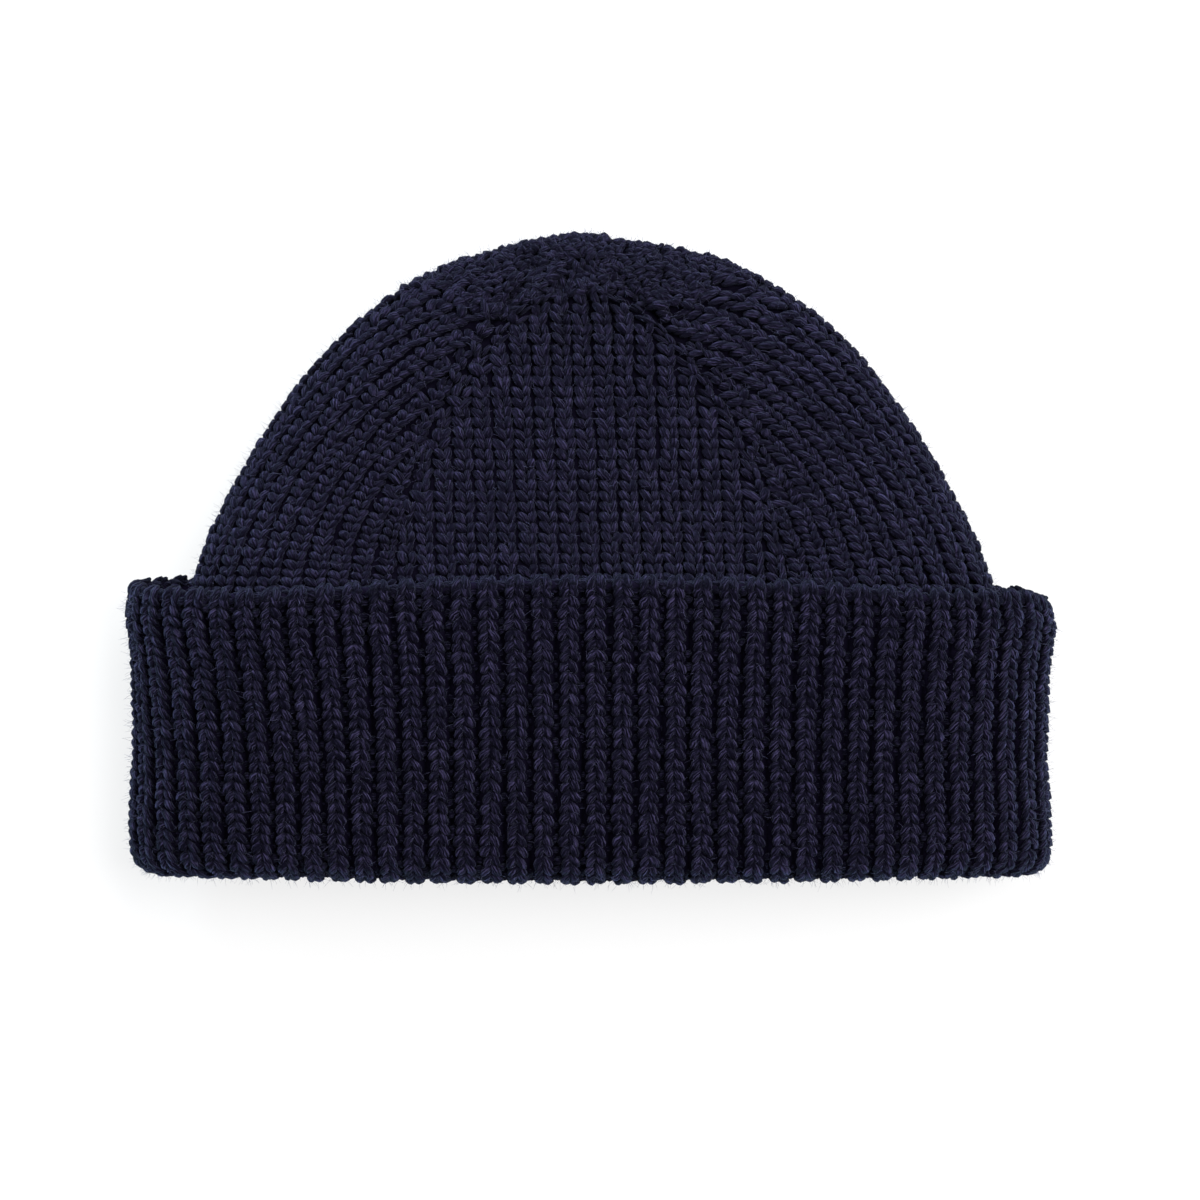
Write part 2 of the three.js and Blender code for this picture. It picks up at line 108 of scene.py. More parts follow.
# The knit
RIB_ROW = 2.6  # one row of the rib
RIB_PITCH = 6.6  # the rib's pitch that its strands are drawn for
CROWN_ROW = 2.72
INNER_ROWS = 7  # rows with real stitches inside the mouth
RIB_RELIEF = 2.4  # rib crest to valley floor
CAP_RUN = 0.4  # the cast-on loops over the ribs, from the top of the rim
LINK_RUNS = [-0.7, 0.9, 2.5]  # the strands between them
LINK_DROPS = [0.3, 0.5, 0.9]  # and how deep each of those lies
BUMP_RISE = 1.3  # how much shallower the valleys are at the rim
BUMP_FADE = 16  # and how far down that goes
TURN_RUNS = [-1.6, -2.9]  # the strands on the rim's far side
LOOP_RUN = 3.0  # the middle of the long loops at the rib tops
FIRST_RUN = 5.2  # the first row of chevrons
LEAN = 4.6  # how far the left ribs lean over the cuff's depth
LEAN_PLACE = -0.21  # where they lean most, as a share of the way round
LEAN_SPREAD = 0.11
PITCH_SWING = 0.0012  # how much wider the ribs lie in the middle than at the sides

# Places that follow
CAP_LENGTH = FOLD_BOW + CUFF_DEPTH + CROWN_HEIGHT
FOLD_Y = FOLD_BOW - CAP_LENGTH / 2
RIM_Y = FOLD_Y + CUFF_DEPTH
TIP_Y = RIM_Y + CROWN_HEIGHT
JOIN_Y = RIM_Y - JOIN_DEPTH
FOLD_REACH = 2 * RIB_WALL + LAYER_GAP
FOLD_RADIUS = FOLD_REACH / 2
RIM_RADIUS = RIB_WALL / 2
INNER_INSET = RIB_WALL + LAYER_GAP
CLOSURE_X = -CLOSURE_OFF
CLOSURE_Y = TIP_Y - CLOSURE_DROP
CROWN_HALF = CUFF_WIDTH / 2 - CROWN_INSET
MOUTH_HALF = CUFF_WIDTH / 2 - INNER_INSET
ARC_STEPS = 24
SAME_PLACE = 1e-6
TINY = 1e-9


# Surfaces of the cap

def smoothstep(value, low, high):
    part = np.clip((value - low) / (high - low), 0, 1)
    return part * part * (3 - 2 * part)


def lerp(a, b, part):
    return a + (b - a) * part


def unit(vectors):
    return vectors / np.maximum(np.linalg.norm(vectors, axis=-1, keepdims=True), TINY)


def runs_along(points):
    """How far along a line of places each of them is."""
    return np.concatenate([[0], np.cumsum(np.linalg.norm(np.diff(points, axis=0), axis=1))])


class TubeSection:
    """A flattened tube's section, read by the share of the way round from its top middle."""

    def __init__(self, half, top, bottom, top_end, bottom_end):
        edge = (top + bottom) / 2
        angles = np.linspace(0, math.pi / 2, ARC_STEPS + 1)
        upper_x = half - top_end * (1 - np.cos(angles[::-1]))
        upper_z = edge + (top - edge) * np.sin(angles[::-1])
        lower_x = half - bottom_end * (1 - np.cos(angles[1:]))
        lower_z = edge - (edge - bottom) * np.sin(angles[1:])
        right_x = np.concatenate([upper_x, lower_x])
        right_z = np.concatenate([upper_z, lower_z])
        x = np.concatenate([[0], right_x, [0], -right_x[::-1], [0]])
        z = np.concatenate([[top], right_z, [bottom], right_z[::-1], [top]])
        self.x, self.z = x, z
        runs = runs_along(np.stack([x, z], axis=1))
        self.length = runs[-1]
        self.shares = runs / self.length
        # Shares at the ends of the flats and at the side folds
        self.turns = self.shares[[0, 1, ARC_STEPS + 1, 2 * ARC_STEPS + 1, 2 * ARC_STEPS + 2]]
        self.turns = np.concatenate([self.turns, 1 - self.turns[-2::-1]])

    def at(self, share):
        share = np.mod(share, 1)
        return np.interp(share, self.shares, self.x), np.interp(share, self.shares, self.z)

    def matching(self, other, share):
        """The share here that lies over the other section's share on the flats and in the folds."""
        return np.interp(np.mod(share, 1), other.turns, self.turns)


def rim_shape(x, facing, half):
    """How far the rim stands above its level at the sides; facing is 1 on top and -1 below."""
    arch = RIM_BOW * np.maximum(0, 1 - (x / RIM_BOW_HALF) ** 2)
    back = lerp(BACK_RIM_RISE_LEFT, BACK_RIM_RISE_RIGHT, x / (2 * half) + 0.5) * (0.5 - facing / 2)
    corner = np.clip(1 - (half - np.abs(x)) / CORNER_REACH, 0, 1) ** 2
    return arch + back - np.where(x < 0, RIM_DIP_LEFT, RIM_DIP_RIGHT) * corner


def fold_shape(x, half):
    """How far the bottom fold stands above its level at the sides."""
    bulge = FOLD_BOW * (1 - (x / half) ** 2)
    corner = np.clip(1 - (half - np.abs(x)) / CORNER_REACH, 0, 1) ** 2
    return np.where(x < 0, FOLD_LIFT_LEFT, FOLD_LIFT_RIGHT) * corner - bulge


def cuff_half(rise):
    flare = FOLD_FLARE * np.interp(rise, CUFF_RISES, FOLD_FLARES)
    return CUFF_WIDTH / 2 + flare + RIM_FLARE * np.interp(rise, CUFF_RISES, RIM_FLARES)


def inner_half(y):
    part = np.clip((RIM_Y - y) / (RIM_Y - FOLD_Y - FOLD_RADIUS), 0, 1)
    return lerp(CROWN_HALF, MOUTH_HALF, 1 - (1 - part) ** WAIST_POWER)


RIM_ARC = math.pi / 2 * RIM_RADIUS
FACE_END = RIM_ARC + RIM_Y - RIM_RADIUS - FOLD_Y - FOLD_RADIUS
FOLD_END = FACE_END + math.pi * FOLD_RADIUS


def cuff_profile(run):
    """Height, inset and side of the rib's face at a run of cloth from the top of the rim."""
    if run < -RIM_ARC:
        return RIM_Y - RIM_RADIUS + (run + RIM_ARC), RIB_WALL, "outer"
    if run < RIM_ARC:
        angle = run / RIM_RADIUS
        return RIM_Y - RIM_RADIUS * (1 - math.cos(angle)), RIM_RADIUS * (1 - math.sin(angle)), "outer"
    if run < FACE_END:
        return RIM_Y - RIM_RADIUS - (run - RIM_ARC), 0, "outer"
    if run < FOLD_END:
        angle = (run - FACE_END) / FOLD_RADIUS
        y = FOLD_Y + FOLD_RADIUS * (1 - math.sin(angle))
        return y, FOLD_RADIUS * (1 - math.cos(angle)), "outer"
    return FOLD_Y + FOLD_RADIUS + (run - FOLD_END), FOLD_REACH, "inner"


def cuff_ring(y, inset, side, shares, leaning):
    """Points of a ring round the cuff at a height, so deep in its outer or inner layer.

    leaning rings follow the ribs, which lean and lie over those of the face, and others don't.
    """
    rise = min(1, max(0, (y - FOLD_Y) / CUFF_DEPTH))
    if side == "outer":
        half, fold_share, rim_share = cuff_half(rise), 1 - rise, rise
        lean_rise = rise
    else:
        half = inner_half(y) + INNER_INSET
        join_rise = (JOIN_Y - FOLD_Y) / CUFF_DEPTH
        fold_share, rim_share = min(1, max(0, 1 - rise / join_rise)), 0
        lean_rise = FOLD_RADIUS / CUFF_DEPTH
    top = lerp(MOUTH_THICKNESS, RIM_THICKNESS, rise)
    section = TubeSection(half - inset, top - inset, inset, CUFF_TOP_END - inset, CUFF_BOTTOM_END - inset)
    way = np.mod(shares + 0.5, 1) - 0.5
    shares = shares + RIB_SHIFT / (2 * CUFF_WIDTH)
    if leaning:
        near = np.exp(-(((way - LEAN_PLACE) / LEAN_SPREAD) ** 2)) * (way < 0)
        shares = shares - LEAN * near * (lean_rise - 0.5) / section.length
        face = TubeSection(cuff_half(rise), top, 0, CUFF_TOP_END, CUFF_BOTTOM_END)
        shares = section.matching(face, shares)
    x, z = section.at(shares)
    facing = np.clip((z - top / 2) / (top / 2 - inset), -1, 1)
    y = y + fold_share * fold_shape(x, half) + rim_share * rim_shape(x, facing, half)
    return np.stack([x, y, z], axis=1)


def cuff_row(run, shares):
    """Points of the rib's face, level with its crests, at one run."""
    y, inset, side = cuff_profile(run)
    return cuff_ring(y, inset, side, shares, True)


def normals_of(grid):
    """Unit normals of a grid of points that is closed across, facing the way of across times along."""
    across = np.roll(grid, -1, axis=1) - np.roll(grid, 1, axis=1)
    return unit(np.cross(across, np.gradient(grid, axis=0)))


# The crown's outline

def catmull_rom(points, steps):
    """A centripetal curve through points, with so many steps between two of them."""
    points = np.asarray(points, float)
    padded = np.vstack([2 * points[0] - points[1], points, 2 * points[-1] - points[-2]])
    out = []
    for k in range(len(points) - 1):
        p0, p1, p2, p3 = padded[k:k + 4]
        t = np.cumsum([0, *(np.linalg.norm(b - a) ** 0.5 for a, b in ((p0, p1), (p1, p2), (p2, p3)))])
        s = np.linspace(t[1], t[2], steps, endpoint=False)[:, None]
        a1 = (t[1] - s) / (t[1] - t[0]) * p0 + (s - t[0]) / (t[1] - t[0]) * p1
        a2 = (t[2] - s) / (t[2] - t[1]) * p1 + (s - t[1]) / (t[2] - t[1]) * p2
        a3 = (t[3] - s) / (t[3] - t[2]) * p2 + (s - t[2]) / (t[3] - t[2]) * p3
        b1 = (t[2] - s) / (t[2] - t[0]) * a1 + (s - t[0]) / (t[2] - t[0]) * a2
        b2 = (t[3] - s) / (t[3] - t[1]) * a2 + (s - t[1]) / (t[3] - t[1]) * a3
        out.append((t[2] - s) / (t[2] - t[1]) * b1 + (s - t[1]) / (t[2] - t[1]) * b2)
    return np.vstack([*out, points[-1]])


def make_outline():
    left = [(-half * CROWN_HALF, RIM_Y + rise * CROWN_HEIGHT) for rise, half in CROWN_OUTLINE]
    right = [(-x, y) for x, y in reversed(left)]
    curve = catmull_rom([*left, (0, TIP_Y), *right], 8)
    levels = [lerp(RIM_Y, JOIN_Y, share) for share in (4 / 3, 1, 2 / 3, 1 / 3)]
    base = np.array([(-inner_half(y), y) for y in levels])
    return np.vstack([base, curve, (base * (-1, 1))[::-1]])


OUTLINE = make_outline()
OUTLINE_RUNS = runs_along(OUTLINE)
TOP_RUN = np.interp(0, OUTLINE[:, 0], OUTLINE_RUNS)


def outline_places(runs):
    """Places at runs along the outline from its highest point."""
    return np.stack([np.interp(TOP_RUN + runs, OUTLINE_RUNS, OUTLINE[:, i]) for i in (0, 1)], axis=1)


def outline_distance(x, y):
    """Distance in from the outline and the way there, for arrays of places."""
    start, step = OUTLINE[:-1], np.diff(OUTLINE, axis=0)
    rel_x, rel_y = x[:, None] - start[:, 0], y[:, None] - start[:, 1]
    part = np.clip((rel_x * step[:, 0] + rel_y * step[:, 1]) / (step ** 2).sum(axis=1), 0, 1)
    gap_x, gap_y = rel_x - part * step[:, 0], rel_y - part * step[:, 1]
    distance = np.hypot(gap_x, gap_y)
    best = distance.argmin(axis=1)
    rows = np.arange(len(x))
    near = distance[rows, best]
    out = np.stack([-gap_x[rows, best], -gap_y[rows, best]], axis=1)
    edge = np.stack([-step[best, 1], step[best, 0]], axis=1)
    out = np.where((near > SAME_PLACE)[:, None], out, edge)
    return near, unit(out)


def crown_levels(y):
    rise = np.clip((y - RIM_Y) / CROWN_HEIGHT, 0, 1)
    cuff_rise = np.clip((y - FOLD_Y) / CUFF_DEPTH, 0, 1)
    base = lerp(MOUTH_THICKNESS, RIM_THICKNESS, cuff_rise) - INNER_INSET
    top = lerp(base, TIP_THICKNESS, 1 - (1 - rise) ** SLACK_POWER)
    bottom = INNER_INSET * (1 - smoothstep(y, RIM_Y + REST_START, RIM_Y + REST_START + REST_RUN))
    top_end = lerp(CROWN_TOP_END, TIP_TOP_END, rise)
    bottom_end = lerp(CROWN_BOTTOM_END, TIP_BOTTOM_END, rise)
    return top, bottom, top_end, bottom_end


def crown_points(x, y, upper, lift):
    """Points of the crown's face over or under places in plan, pushed out by lift."""
    y = np.minimum(y, outline_top(x))
    distance, out = outline_distance(x, y)
    top, bottom, top_end, bottom_end = crown_levels(y)
    edge = (top + bottom) / 2
    end = np.where(upper, top_end, bottom_end)
    height = np.where(upper, top - edge, edge - bottom)
    left = 1 - np.clip(distance / end, 0, 1)
    sine, cosine = np.sqrt(1 - left * left), left
    sign = np.where(upper, 1, -1)
    normal = [out[:, 0] * height * cosine, out[:, 1] * height * cosine, sign * end * sine]
    place = np.stack([x, y, edge + sign * height * sine], axis=1)
    return place + unit(np.stack(normal, axis=1)) * lift


def gore_stitches(row):
    return WALES_PER_GORE * math.sin(math.pi / 2 * min(1, row / COURSES)) ** NARROWING


def gore_half(row):
    return gore_stitches(row) * WALE_WIDTH * (1 + GATHER_WIDEN * math.exp(-row / GATHER_COURSES)) / 2


def side_way(sign):
    """The way of a side gore's middle column: up the outline, then over to the closure."""
    leave = CROWN_HALF * LEAVE_SHARE
    way = OUTLINE[(OUTLINE[:, 0] * sign >= leave) & (OUTLINE[:, 1] >= RIM_Y - SAME_PLACE)]
    way = np.vstack([way if sign < 0 else way[::-1], (CLOSURE_X, CLOSURE_Y)])
    return way, runs_along(way)


SIDE_WAYS = {-1: side_way(-1), 1: side_way(1)}


def front_row_y(row):
    if row >= COURSES:
        return lerp(RIM_Y, JOIN_Y, (row - COURSES) / HIDDEN_COURSES)
    return lerp(CLOSURE_Y, RIM_Y, row / COURSES)


def side_point(sign, row):
    if row >= COURSES:
        y = front_row_y(row)
        return sign * inner_half(y), y
    way, lengths = SIDE_WAYS[sign]
    risen = 1 - row / COURSES
    run = lengths[-1] * risen * (1 - SIDE_STRETCH * (1 - risen ** 4))
    return np.interp(run, lengths, way[:, 0]), np.interp(run, lengths, way[:, 1])


def outline_top(x):
    order = np.argsort(OUTLINE[:, 0])
    return np.interp(x, OUTLINE[order, 0], OUTLINE[order, 1])


def back_row_y(row, x):
    if row >= COURSES:
        return np.full_like(x, front_row_y(row))
    down = (row - TOP_COURSES) / (COURSES - TOP_COURSES)
    follow = math.exp(-(row - TOP_COURSES) / GATHER_COURSES)
    return lerp(TIP_Y, RIM_Y, down) - follow * (TIP_Y - outline_top(x))


def fold_offset(run, end, height):
    """How far in from a side fold a run of cloth gets, seen from above."""
    angles = np.linspace(0, math.pi / 2, ARC_STEPS + 1)
    offsets, rises = end * (1 - np.cos(angles)), height * np.sin(angles)
    lengths = runs_along(np.stack([offsets, rises], axis=1))
    return np.where(run < lengths[-1], np.interp(run, lengths, offsets), end + run - lengths[-1])


def gore_places(gore, across, row):
    """Places in plan of a gore's columns in a row, and whether they lie on the upper side."""
    reach = gore_half(row)
    middle = CLOSURE_X * max(0, 1 - row / COURSES)
    if gore == "front":
        x = middle + across * 2 * reach
        return x, np.full_like(x, front_row_y(row)), np.ones(x.shape, bool)
    if gore == "back":
        x = -across * 2 * reach
        return x, back_row_y(row, x), np.zeros(x.shape, bool)
    sign = 1 if gore == "right" else -1
    upper = across < 0 if gore == "right" else across > 0
    edge_x, edge_y = side_point(sign, row)
    in_x = np.where(upper, middle, 0) + sign * reach
    in_y = np.where(upper, front_row_y(row), back_row_y(row, in_x))
    width = np.hypot(in_x - edge_x, in_y - edge_y)
    top, bottom, top_end, bottom_end = crown_levels(np.float64(edge_y))
    height = (top - bottom) / 2
    part = np.empty_like(across)
    for side, end in ((True, top_end), (False, bottom_end)):
        chosen = upper == side
        if chosen.any():
            w = width[chosen][0]
            end = min(w, end)
            reach_all = 2 * (end + height)
            stretch = reach_all - fold_offset(np.float64(reach_all), end, height)
            run = 2 * np.abs(across[chosen]) * (w + stretch)
            part[chosen] = np.minimum(1, fold_offset(run, end, height) / w)
    return lerp(edge_x, in_x, part), lerp(edge_y, in_y, part), upper


def stitch_places(gore, across, row):
    if row >= TOP_COURSES:
        return gore_places(gore, across, row)
    x, y, _ = gore_places(gore, across, TOP_COURSES)
    part = row / TOP_COURSES
    return lerp(CLOSURE_X, x, part), lerp(CLOSURE_Y, y, part), np.ones(x.shape, bool)


def crown_row(gore, across, row, lift=0.0):
    """Points of the crown's face for arrays of places across a gore, all in one row."""
    across = np.clip(np.asarray(across, float), -0.5, 0.5)
    x, y, upper = stitch_places(gore, across, max(row, 0.05))
    return crown_points(x, y, upper, lift), upper


# Yarn

FLATNESS = 0.85  # how thick a strand is for its width
POINT_LENGTH = 0.6  # how far its ends run out, as a share of its radius there
END_RADIUS = 0.62  # its radius at the ends, as a share of its middle's
SWELL_POWER = 0.8
# A strand's sides count as standing out less than its top, so they get painted shade.
SIDE_CREST = 0.55  # how far its sides count as standing out, where its top counts as 1


def strand(path, radii, sides):
    """A closed piece of yarn along path, as vertices, faces and a UV map for its twist."""
    path, radii = np.asarray(path, float), np.asarray(radii, float)
    tangent = unit(np.gradient(path, axis=0))
    side = unit(np.cross(tangent, (0, 0, 1)))
    over = np.cross(side, tangent)
    angles = np.linspace(0, 2 * math.pi, sides, endpoint=False)
    runs = runs_along(path)
    verts, faces, uvs = [], [], []
    for place, s, o, radius in zip(path, side, over, radii):
        ring = np.cos(angles)[:, None] * s * radius + np.sin(angles)[:, None] * o * radius * FLATNESS
        verts.extend(place + ring)
    for i in range(len(path) - 1):
        for k in range(sides):
            after = (k + 1) % sides
            a, b = i * sides + k, i * sides + after
            faces.append((a, a + sides, b + sides, b))
            u0, u1 = k / sides, (k + 1) / sides
            uvs.extend([(u0, runs[i]), (u0, runs[i + 1]), (u1, runs[i + 1]), (u1, runs[i])])
    for i, way in ((0, -1), (len(path) - 1, 1)):
        point = len(verts)
        verts.append(path[i] + tangent[i] * way * radii[i] * POINT_LENGTH)
        for k in range(sides):
            after = (k + 1) % sides
            u0, u1 = k / sides, (k + 1) / sides
            face = [i * sides + k, point, i * sides + after]
            uv = [(u0, runs[i]), ((u0 + u1) / 2, runs[i]), (u1, runs[i])]
            faces.append(tuple(face[::way]))
            uvs.extend(uv[::way])
    return np.array(verts), faces, uvs


def mesh_object(name, verts, faces, uvs=None, smooth=True):
    """A mesh object at the origin from points in millimetres."""
    mesh = bpy.data.meshes.new(name)
    mesh.from_pydata((np.asarray(verts) * MM).tolist(), [], faces)
    if uvs is not None:
        layer = mesh.uv_layers.new(name="UVMap")
        layer.data.foreach_set("uv", np.asarray(uvs, np.float32).ravel())
    if smooth:
        mesh.polygons.foreach_set("use_smooth", np.ones(len(mesh.polygons), bool))
    mesh.update()
    obj = bpy.data.objects.new(name, mesh)
    bpy.context.scene.collection.objects.link(obj)
    return obj


def set_crest(obj, values):
    """Keeps how far each point stands out of the knit, which its material turns into painted shade where the
    point lies deep.
    """
    layer = obj.data.attributes.new("crest", "FLOAT", "POINT")
    layer.data.foreach_set("value", np.ascontiguousarray(values, np.float32).ravel())


def bow(start, end, low, high, rings, lean, peak, arch):
    """A leg's middle line from start to end, sunk to low's two depths there and highest at its peak."""
    part = np.linspace(0, 1, rings)
    swell = np.sin(math.pi * part ** (math.log(0.5) / math.log(peak))) ** SWELL_POWER
    x = lerp(start[0], end[0], part) + lean * swell
    y = lerp(start[1], end[1], part) - arch * swell
    base = lerp(low[0], low[1], part)
    return np.stack([x, y, lerp(base, high, swell)], axis=1), swell


def leg(name, start, end, radius, low, high, rings, sides, lean=0.0, peak=0.5, arch=0.0, lit_share=1.0):
    """A strand that carries, as crest, how far each of its points stands out of the knit, for painted shade
    where it lies deep; the last argument scales that down, for more painted shade.
    """
    path, swell = bow(start, end, low, high, rings, lean, peak, arch)
    verts, faces, uvs = strand(path, radius * lerp(END_RADIUS, 1, swell), sides)
    made = mesh_object(name, verts, faces, uvs)
    around = np.sin(np.linspace(0, 2 * math.pi, sides, endpoint=False))
    crest = np.concatenate([np.outer(swell, lerp(SIDE_CREST, 1, around)).ravel(), (0, 0)])
    set_crest(made, crest * lit_share)
    return made


# Node trees

def socket(tree, name, kind, default=None):
    made = tree.interface.new_socket(name=name, in_out="INPUT", socket_type=kind)
    if default is not None:
        made.default_value = default
    return made


def math_node(tree, operation, a, b=None):
    node = tree.nodes.new("ShaderNodeMath")
    node.operation = operation
    for k, value in enumerate((a, b)):
        if isinstance(value, (int, float)):
            node.inputs[k].default_value = value
        elif value is not None:
            tree.links.new(value, node.inputs[k])
    return node.outputs[0]


def scaled(tree, vector, scale):
    node = tree.nodes.new("ShaderNodeVectorMath")
    node.operation = "SCALE"
    tree.links.new(vector, node.inputs[0])
    tree.links.new(scale, node.inputs["Scale"])
    return node.outputs[0]


def added(tree, a, b):
    node = tree.nodes.new("ShaderNodeVectorMath")
    node.operation = "ADD"
    tree.links.new(a, node.inputs[0])
    tree.links.new(b, node.inputs[1])
    return node.outputs[0]


def named(tree, name, kind="FLOAT_VECTOR"):
    node = tree.nodes.new("GeometryNodeInputNamedAttribute")
    node.data_type = kind
    node.inputs["Name"].default_value = name
    return node.outputs["Attribute"]


def random_number(tree, seed, offset, low=-1.0, high=1.0):
    node = tree.nodes.new("FunctionNodeRandomValue")
    node.data_type = "FLOAT"
    node.inputs[2].default_value = low
    node.inputs[3].default_value = high
    tree.links.new(math_node(tree, "ADD", seed, offset), node.inputs["Seed"])
    return node.outputs[1]


STITCH_SIZE = 3.0  # a strand's shift is a share of this


def stitch_tree():
    """Lays a strand on each point, in that point's own across, along and out."""
    tree = bpy.data.node_groups.new("yarn_stitches", "GeometryNodeTree")
    tree.is_modifier = True
    socket(tree, "Points", "NodeSocketGeometry")
    socket(tree, "Strand", "NodeSocketObject")
    socket(tree, "Yarn", "NodeSocketMaterial")
    socket(tree, "Shift", "NodeSocketFloat", 0.04)
    socket(tree, "Turn", "NodeSocketFloat", 0.05)
    socket(tree, "Swell", "NodeSocketFloat", 0.1)
    socket(tree, "Seed", "NodeSocketInt", 1)
    tree.interface.new_socket(name="Stitches", in_out="OUTPUT", socket_type="NodeSocketGeometry")
    source = tree.nodes.new("NodeGroupInput").outputs
    seed = source["Seed"]

    info = tree.nodes.new("GeometryNodeObjectInfo")
    tree.links.new(source["Strand"], info.inputs["Object"])
    laid = tree.nodes.new("GeometryNodeInstanceOnPoints")
    tree.links.new(source["Points"], laid.inputs["Points"])
    tree.links.new(info.outputs["Geometry"], laid.inputs["Instance"])

    def varied(offset, size):
        """A random number of each strand's own, up to size either way."""
        return math_node(tree, "MULTIPLY", random_number(tree, seed, offset), source[size])

    across, along, out = (named(tree, name) for name in ("across", "along", "out"))
    jumble = named(tree, "jumble", "FLOAT")
    turn = math_node(tree, "MULTIPLY", varied(11, "Turn"), jumble)
    swell = math_node(tree, "ADD", varied(12, "Swell"), 1)
    length = math_node(tree, "ADD", varied(13, "Shift"), 1)
    width = scaled(tree, across, swell)
    height = scaled(tree, added(tree, along, scaled(tree, across, turn)), length)
    lifted = scaled(tree, out, swell)
    step = scaled(tree, across, varied(14, "Shift"))
    step = added(tree, step, scaled(tree, along, varied(15, "Shift")))
    step = added(tree, step, scaled(tree, out, varied(17, "Shift")))
    step = scaled(tree, step, math_node(tree, "MULTIPLY", jumble, STITCH_SIZE * MM))
    place = added(tree, tree.nodes.new("GeometryNodeInputPosition").outputs[0], step)

    matrix = tree.nodes.new("FunctionNodeCombineMatrix")
    for column, vector in enumerate((width, height, lifted, place)):
        parts = tree.nodes.new("ShaderNodeSeparateXYZ")
        tree.links.new(vector, parts.inputs[0])
        for row in range(3):
            tree.links.new(parts.outputs[row], matrix.inputs[column * 4 + row])
    placed = tree.nodes.new("GeometryNodeSetInstanceTransform")
    tree.links.new(laid.outputs["Instances"], placed.inputs["Instances"])
    tree.links.new(matrix.outputs[0], placed.inputs["Transform"])

    tone = tree.nodes.new("GeometryNodeStoreNamedAttribute")
    tone.data_type, tone.domain = "FLOAT", "INSTANCE"
    tone.inputs["Name"].default_value = "tone"
    tree.links.new(placed.outputs[0], tone.inputs["Geometry"])
    tree.links.new(random_number(tree, seed, 16), tone.inputs["Value"])
    real = tree.nodes.new("GeometryNodeRealizeInstances")
    tree.links.new(tone.outputs[0], real.inputs[0])
    dyed = tree.nodes.new("GeometryNodeSetMaterial")
    tree.links.new(real.outputs[0], dyed.inputs["Geometry"])
    tree.links.new(source["Yarn"], dyed.inputs["Material"])
    end = tree.nodes.new("NodeGroupOutput")
    tree.links.new(dyed.outputs[0], end.inputs[0])
    return tree


def set_inputs(modifier, values):
    for item in modifier.node_group.interface.items_tree:
        if item.in_out == "INPUT" and item.name in values:
            modifier[item.identifier] = values[item.name]


def apply_tree(obj, tree, values, name):
    """Runs a tree on obj and keeps the result as a plain mesh object."""
    modifier = obj.modifiers.new(tree.name, "NODES")
    modifier.node_group = tree
    set_inputs(modifier, values)
    obj.update_tag()
    graph = bpy.context.evaluated_depsgraph_get()
    result = obj.evaluated_get(graph)
    mesh = bpy.data.meshes.new_from_object(result, preserve_all_data_layers=True, depsgraph=graph)
    obj.modifiers.remove(modifier)
    bpy.data.objects.remove(obj)
    made = bpy.data.objects.new(name, mesh)
    mesh.name = name
    bpy.context.scene.collection.objects.link(made)
    return made


def point_cloud(name, places, across, along, out, jumble):
    """Points that carry their own across, along and out as vectors, and how uneven they lie."""
    mesh = bpy.data.meshes.new(name)
    mesh.from_pydata((places * MM).tolist(), [], [])
    for label, vectors in (("across", across), ("along", along), ("out", out)):
        layer = mesh.attributes.new(label, "FLOAT_VECTOR", "POINT")
        layer.data.foreach_set("vector", np.ascontiguousarray(vectors, np.float32).ravel())
    mesh.attributes.new("jumble", "FLOAT", "POINT").data.foreach_set("value", jumble.astype(np.float32))
    obj = bpy.data.objects.new(name, mesh)
    bpy.context.scene.collection.objects.link(obj)
    return obj


def join(name, parts):
    """Joins mesh objects into the first of them."""
    chosen = {"active_object": parts[0], "selected_objects": parts, "selected_editable_objects": parts}
    with bpy.context.temp_override(**chosen):
        bpy.ops.object.join()
    parts[0].name = parts[0].data.name = name
    return parts[0]


# Materials

def material(name):
    made = bpy.data.materials.new(name)
    made.use_nodes = True
    tree = made.node_tree
    shader = tree.nodes["Principled BSDF"]
    return made, tree, shader


def noise(tree, scale, detail, vector):
    node = tree.nodes.new("ShaderNodeTexNoise")
    node.inputs["Scale"].default_value = scale
    node.inputs["Detail"].default_value = detail
    tree.links.new(vector, node.inputs["Vector"])
    return node.outputs["Fac"]


def spread(tree, value, low, high, start, end):
    """value's range from start to end, spread from low to high."""
    node = tree.nodes.new("ShaderNodeMapRange")
    node.inputs["From Min"].default_value = start
    node.inputs["From Max"].default_value = end
    node.inputs["To Min"].default_value = low
    node.inputs["To Max"].default_value = high
    tree.links.new(value, node.inputs["Value"])
    return node.outputs["Result"]


PLIES = 9
TWIST = 0.055  # turns of a ply for each millimetre of strand
PLY_WANDER = 0.09
PLY_DEPTH = 0.42
PLY_SHARE = 0.25  # how much of the relief the plies make, and the fibres the rest
FIBRES = 20
FIBRE_RUN = 0.5
FIBRE_JUMP = 40  # how far apart two strands' patterns of fibres lie
FIBRE_RANGE = (0.38, 0.62)  # the part of the noise that goes from dark to light
WANDER_SCALE = 900
PATCH_SCALE = 60
PATCH_DEPTH = 0.012
PATCH_RANGE = (0.3, 0.7)
TONE_DEPTH = 0.025
SHADE_START = 0.12
SHADE_POWER = 2.9
# A strand's crest sets its painted shade: it darkens where it lies deep among the others.
CREST_START = 0.05
CREST_FULL = 0.7  # how far out a strand has its full brightness


